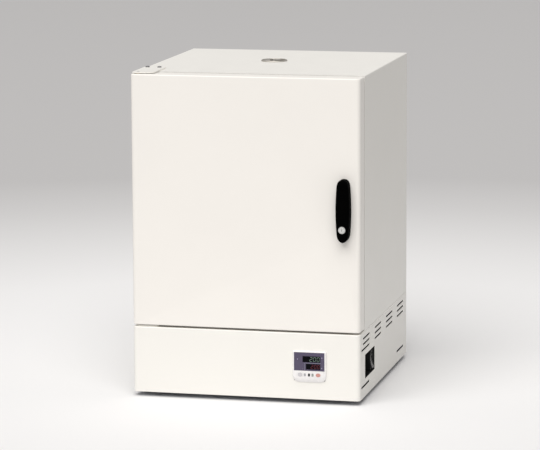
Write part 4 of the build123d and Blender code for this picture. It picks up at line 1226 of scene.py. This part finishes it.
class STERILIZER_OT_welds(SceneOperator):
    """Put a small weld where the shelves' wires cross their bars"""

    bl_idname = "sterilizer.welds"
    bl_label = "Welds"

    def execute(self, context):
        radius = context.scene.sterilizer_fasteners.weld_radius
        mesh = bpy.data.meshes.new("weld")
        ball = bmesh.new()
        bmesh.ops.create_icosphere(ball, subdivisions=2, radius=1.0)
        ball.to_mesh(mesh)
        ball.free()
        mesh.shade_smooth()
        template = add_object("weld", mesh)
        for node in ("lower_shelf", "upper_shelf"):
            places = self.crossings(node)
            repeat(node + "_welds", template, places, wire_steel, node_body[node], size=radius)
        drop(template)
        return {"FINISHED"}

    def crossings(self, node):
        """Where each wire of a shelf lies on each of its bars."""
        long = 300 * MM
        wire_limit = 4 * MM
        bar_limit = 7 * MM
        boxes = solid_boxes(node)
        wires = [(low, high) for low, high in boxes if high.x - low.x < wire_limit and high.y - low.y > long]
        bars = [(low, high) for low, high in boxes if high.x - low.x > long and high.y - low.y < bar_limit]
        places = []
        for wire_low, wire_high in wires:
            for bar_low, bar_high in bars:
                x = (wire_low.x + wire_high.x) / 2
                y = (bar_low.y + bar_high.y) / 2
                places.append(((x, y, bar_high.z), Vector((0, 0, 1))))
        return places


class STERILIZER_OT_studio(SceneOperator):
    """Make the floor, the lamps and the camera"""

    bl_idname = "sterilizer.studio"
    bl_label = "Studio"

    def execute(self, context):
        values = context.scene.sterilizer_studio
        self.floor(values)
        self.world(values)
        self.key_light(values)
        self.camera(context, values)
        context.scene.view_settings.view_transform = "Standard"
        return {"FINISHED"}

    def floor(self, values):
        """A wide round floor, white near the oven and grey far away."""
        radii = (0, 1, 3, 8, 60)
        mesh = lathe("studio_floor", [(radius, 0) for radius in radii], 96)
        for polygon in mesh.polygons:
            if polygon.normal.z < 0:
                polygon.flip()
        made = Finish("studio_floor", tuple(values.floor), 0.9)
        tone = self.floor_tone(made, Vector(values.floor), Vector(values.backdrop))
        dimmed = made.mix(1.0 - values.bounce, tone, (0.0, 0.0, 0.0))
        path = made.node("ShaderNodeLightPath")
        made.tint(path.outputs["Is Camera Ray"], tone, dimmed)
        made.shader.inputs["Specular IOR Level"].default_value = 0.1
        mesh.materials.append(made.material)
        add_object("studio_floor", mesh)

    def floor_tone(self, made, near, far):
        """The floor's colour, by the distance in metres from its middle."""
        edge = 12
        far_edge = 0.93
        levels = ((0.6, 1.0), (1.4, 0.86), (2.0, 0.60), (2.8, 0.24), (3.5, 0.0))
        length = made.node("ShaderNodeVectorMath", operation="LENGTH")
        made.link(made.coordinates, length.inputs[0])
        ramp = made.node("ShaderNodeValToRGB")
        made.link(made.range(length.outputs["Value"], 0, 1, 0, edge), ramp.inputs["Fac"])
        marks = ramp.color_ramp.elements
        marks[0].position = 0.0
        marks[0].color = (*near, 1)
        marks[1].position = 1.0
        marks[1].color = (*shade(far, far_edge), 1)
        for distance, level in levels:
            mark = marks.new(distance / edge)
            mark.color = (*far.lerp(near, level), 1)
        return ramp.outputs["Color"]

    def world(self, values):
        """Even light from all round, and the backdrop's grey for the camera, mirrors and glass."""
        world = bpy.data.worlds.new("studio_air")
        world.use_nodes = True
        nodes = world.node_tree.nodes
        links = world.node_tree.links

        def either(first, second):
            larger = nodes.new("ShaderNodeMath")
            larger.operation = "MAXIMUM"
            links.new(first, larger.inputs[0])
            links.new(second, larger.inputs[1])
            return larger.outputs[0]

        light = nodes["Background"]
        light.inputs["Color"].default_value = (1, 0.99, 0.98, 1)
        light.inputs["Strength"].default_value = values.fill
        view = nodes.new("ShaderNodeBackground")
        view.inputs["Color"].default_value = (*shade(tuple(values.backdrop), 0.85), 1)
        view.inputs["Strength"].default_value = 1.0
        path = nodes.new("ShaderNodeLightPath")
        bent = either(path.outputs["Is Glossy Ray"], path.outputs["Is Transmission Ray"])
        mix = nodes.new("ShaderNodeMixShader")
        links.new(either(bent, path.outputs["Is Camera Ray"]), mix.inputs["Fac"])
        links.new(light.outputs[0], mix.inputs[1])
        links.new(view.outputs[0], mix.inputs[2])
        links.new(mix.outputs[0], nodes["World Output"].inputs["Surface"])
        bpy.context.scene.world = world

    def key_light(self, values):
        """One wide soft light from above the front."""
        lamp = bpy.data.lights.new("key", "SUN")
        lamp.energy = values.key
        lamp.angle = values.key_width
        lamp.color = (1.0, 0.985, 0.965)
        made = add_object("key", lamp)
        way = Vector(values.key_way).normalized()
        made.rotation_euler = way.to_track_quat("Z", "Y").to_euler()
        distance = 4
        made.location = way * distance

    def camera(self, context, values):
        """A long lens, turned by yaw, pitch and roll."""
        lens = bpy.data.cameras.new("camera")
        lens.lens = values.lens
        lens.sensor_width = 36
        lens.clip_end = 200
        made = add_object("camera", lens)
        ahead = Vector(
            (
                -math.sin(values.yaw) * math.cos(values.pitch),
                math.cos(values.yaw) * math.cos(values.pitch),
                -math.sin(values.pitch),
            )
        )
        level = Vector((math.cos(values.yaw), math.sin(values.yaw), 0))
        upright = level.cross(ahead)
        right = level * math.cos(values.roll) + upright * math.sin(values.roll)
        up = right.cross(ahead)
        turn = Matrix((right, up, -ahead)).transposed().to_4x4()
        made.matrix_world = Matrix.Translation(Vector(values.camera_place)) @ turn
        context.scene.camera = made


class STERILIZER_PT_panel(bpy.types.Panel):
    """The steps, in the order that they are used in"""

    bl_idname = "STERILIZER_PT_panel"
    bl_label = "Hot Air Sterilizer"
    bl_space_type = "VIEW_3D"
    bl_region_type = "UI"
    bl_category = "Sterilizer"

    def draw(self, context):
        layout = self.layout
        for step in steps:
            layout.operator(step.bl_idname)
        for name in settings:
            box = layout.box()
            box.label(text=settings[name].__doc__)
            group = getattr(context.scene, name)
            for key in settings[name].__annotations__:
                box.prop(group, key)


settings = {
    "sterilizer_paint": PaintSettings,
    "sterilizer_metal": MetalSettings,
    "sterilizer_plastic": PlasticSettings,
    "sterilizer_displays": DisplaySettings,
    "sterilizer_fasteners": FastenerSettings,
    "sterilizer_studio": StudioSettings,
}

steps = (
    STERILIZER_OT_studio,
    STERILIZER_OT_finishes,
    STERILIZER_OT_mouldings,
    STERILIZER_OT_screws,
    STERILIZER_OT_controller,
    STERILIZER_OT_welds,
)


def register():
    for name, group in settings.items():
        bpy.utils.register_class(group)
        setattr(bpy.types.Scene, name, PointerProperty(type=group))
    for step in steps:
        bpy.utils.register_class(step)
    bpy.utils.register_class(STERILIZER_PT_panel)


def unregister():
    bpy.utils.unregister_class(STERILIZER_PT_panel)
    for step in reversed(steps):
        bpy.utils.unregister_class(step)
    for name, group in reversed(settings.items()):
        delattr(bpy.types.Scene, name)
        bpy.utils.unregister_class(group)


def main():
    register()
    for step in steps:
        module, name = step.bl_idname.split(".")
        getattr(getattr(bpy.ops, module), name)()


if __name__ == "__main__":
    main()
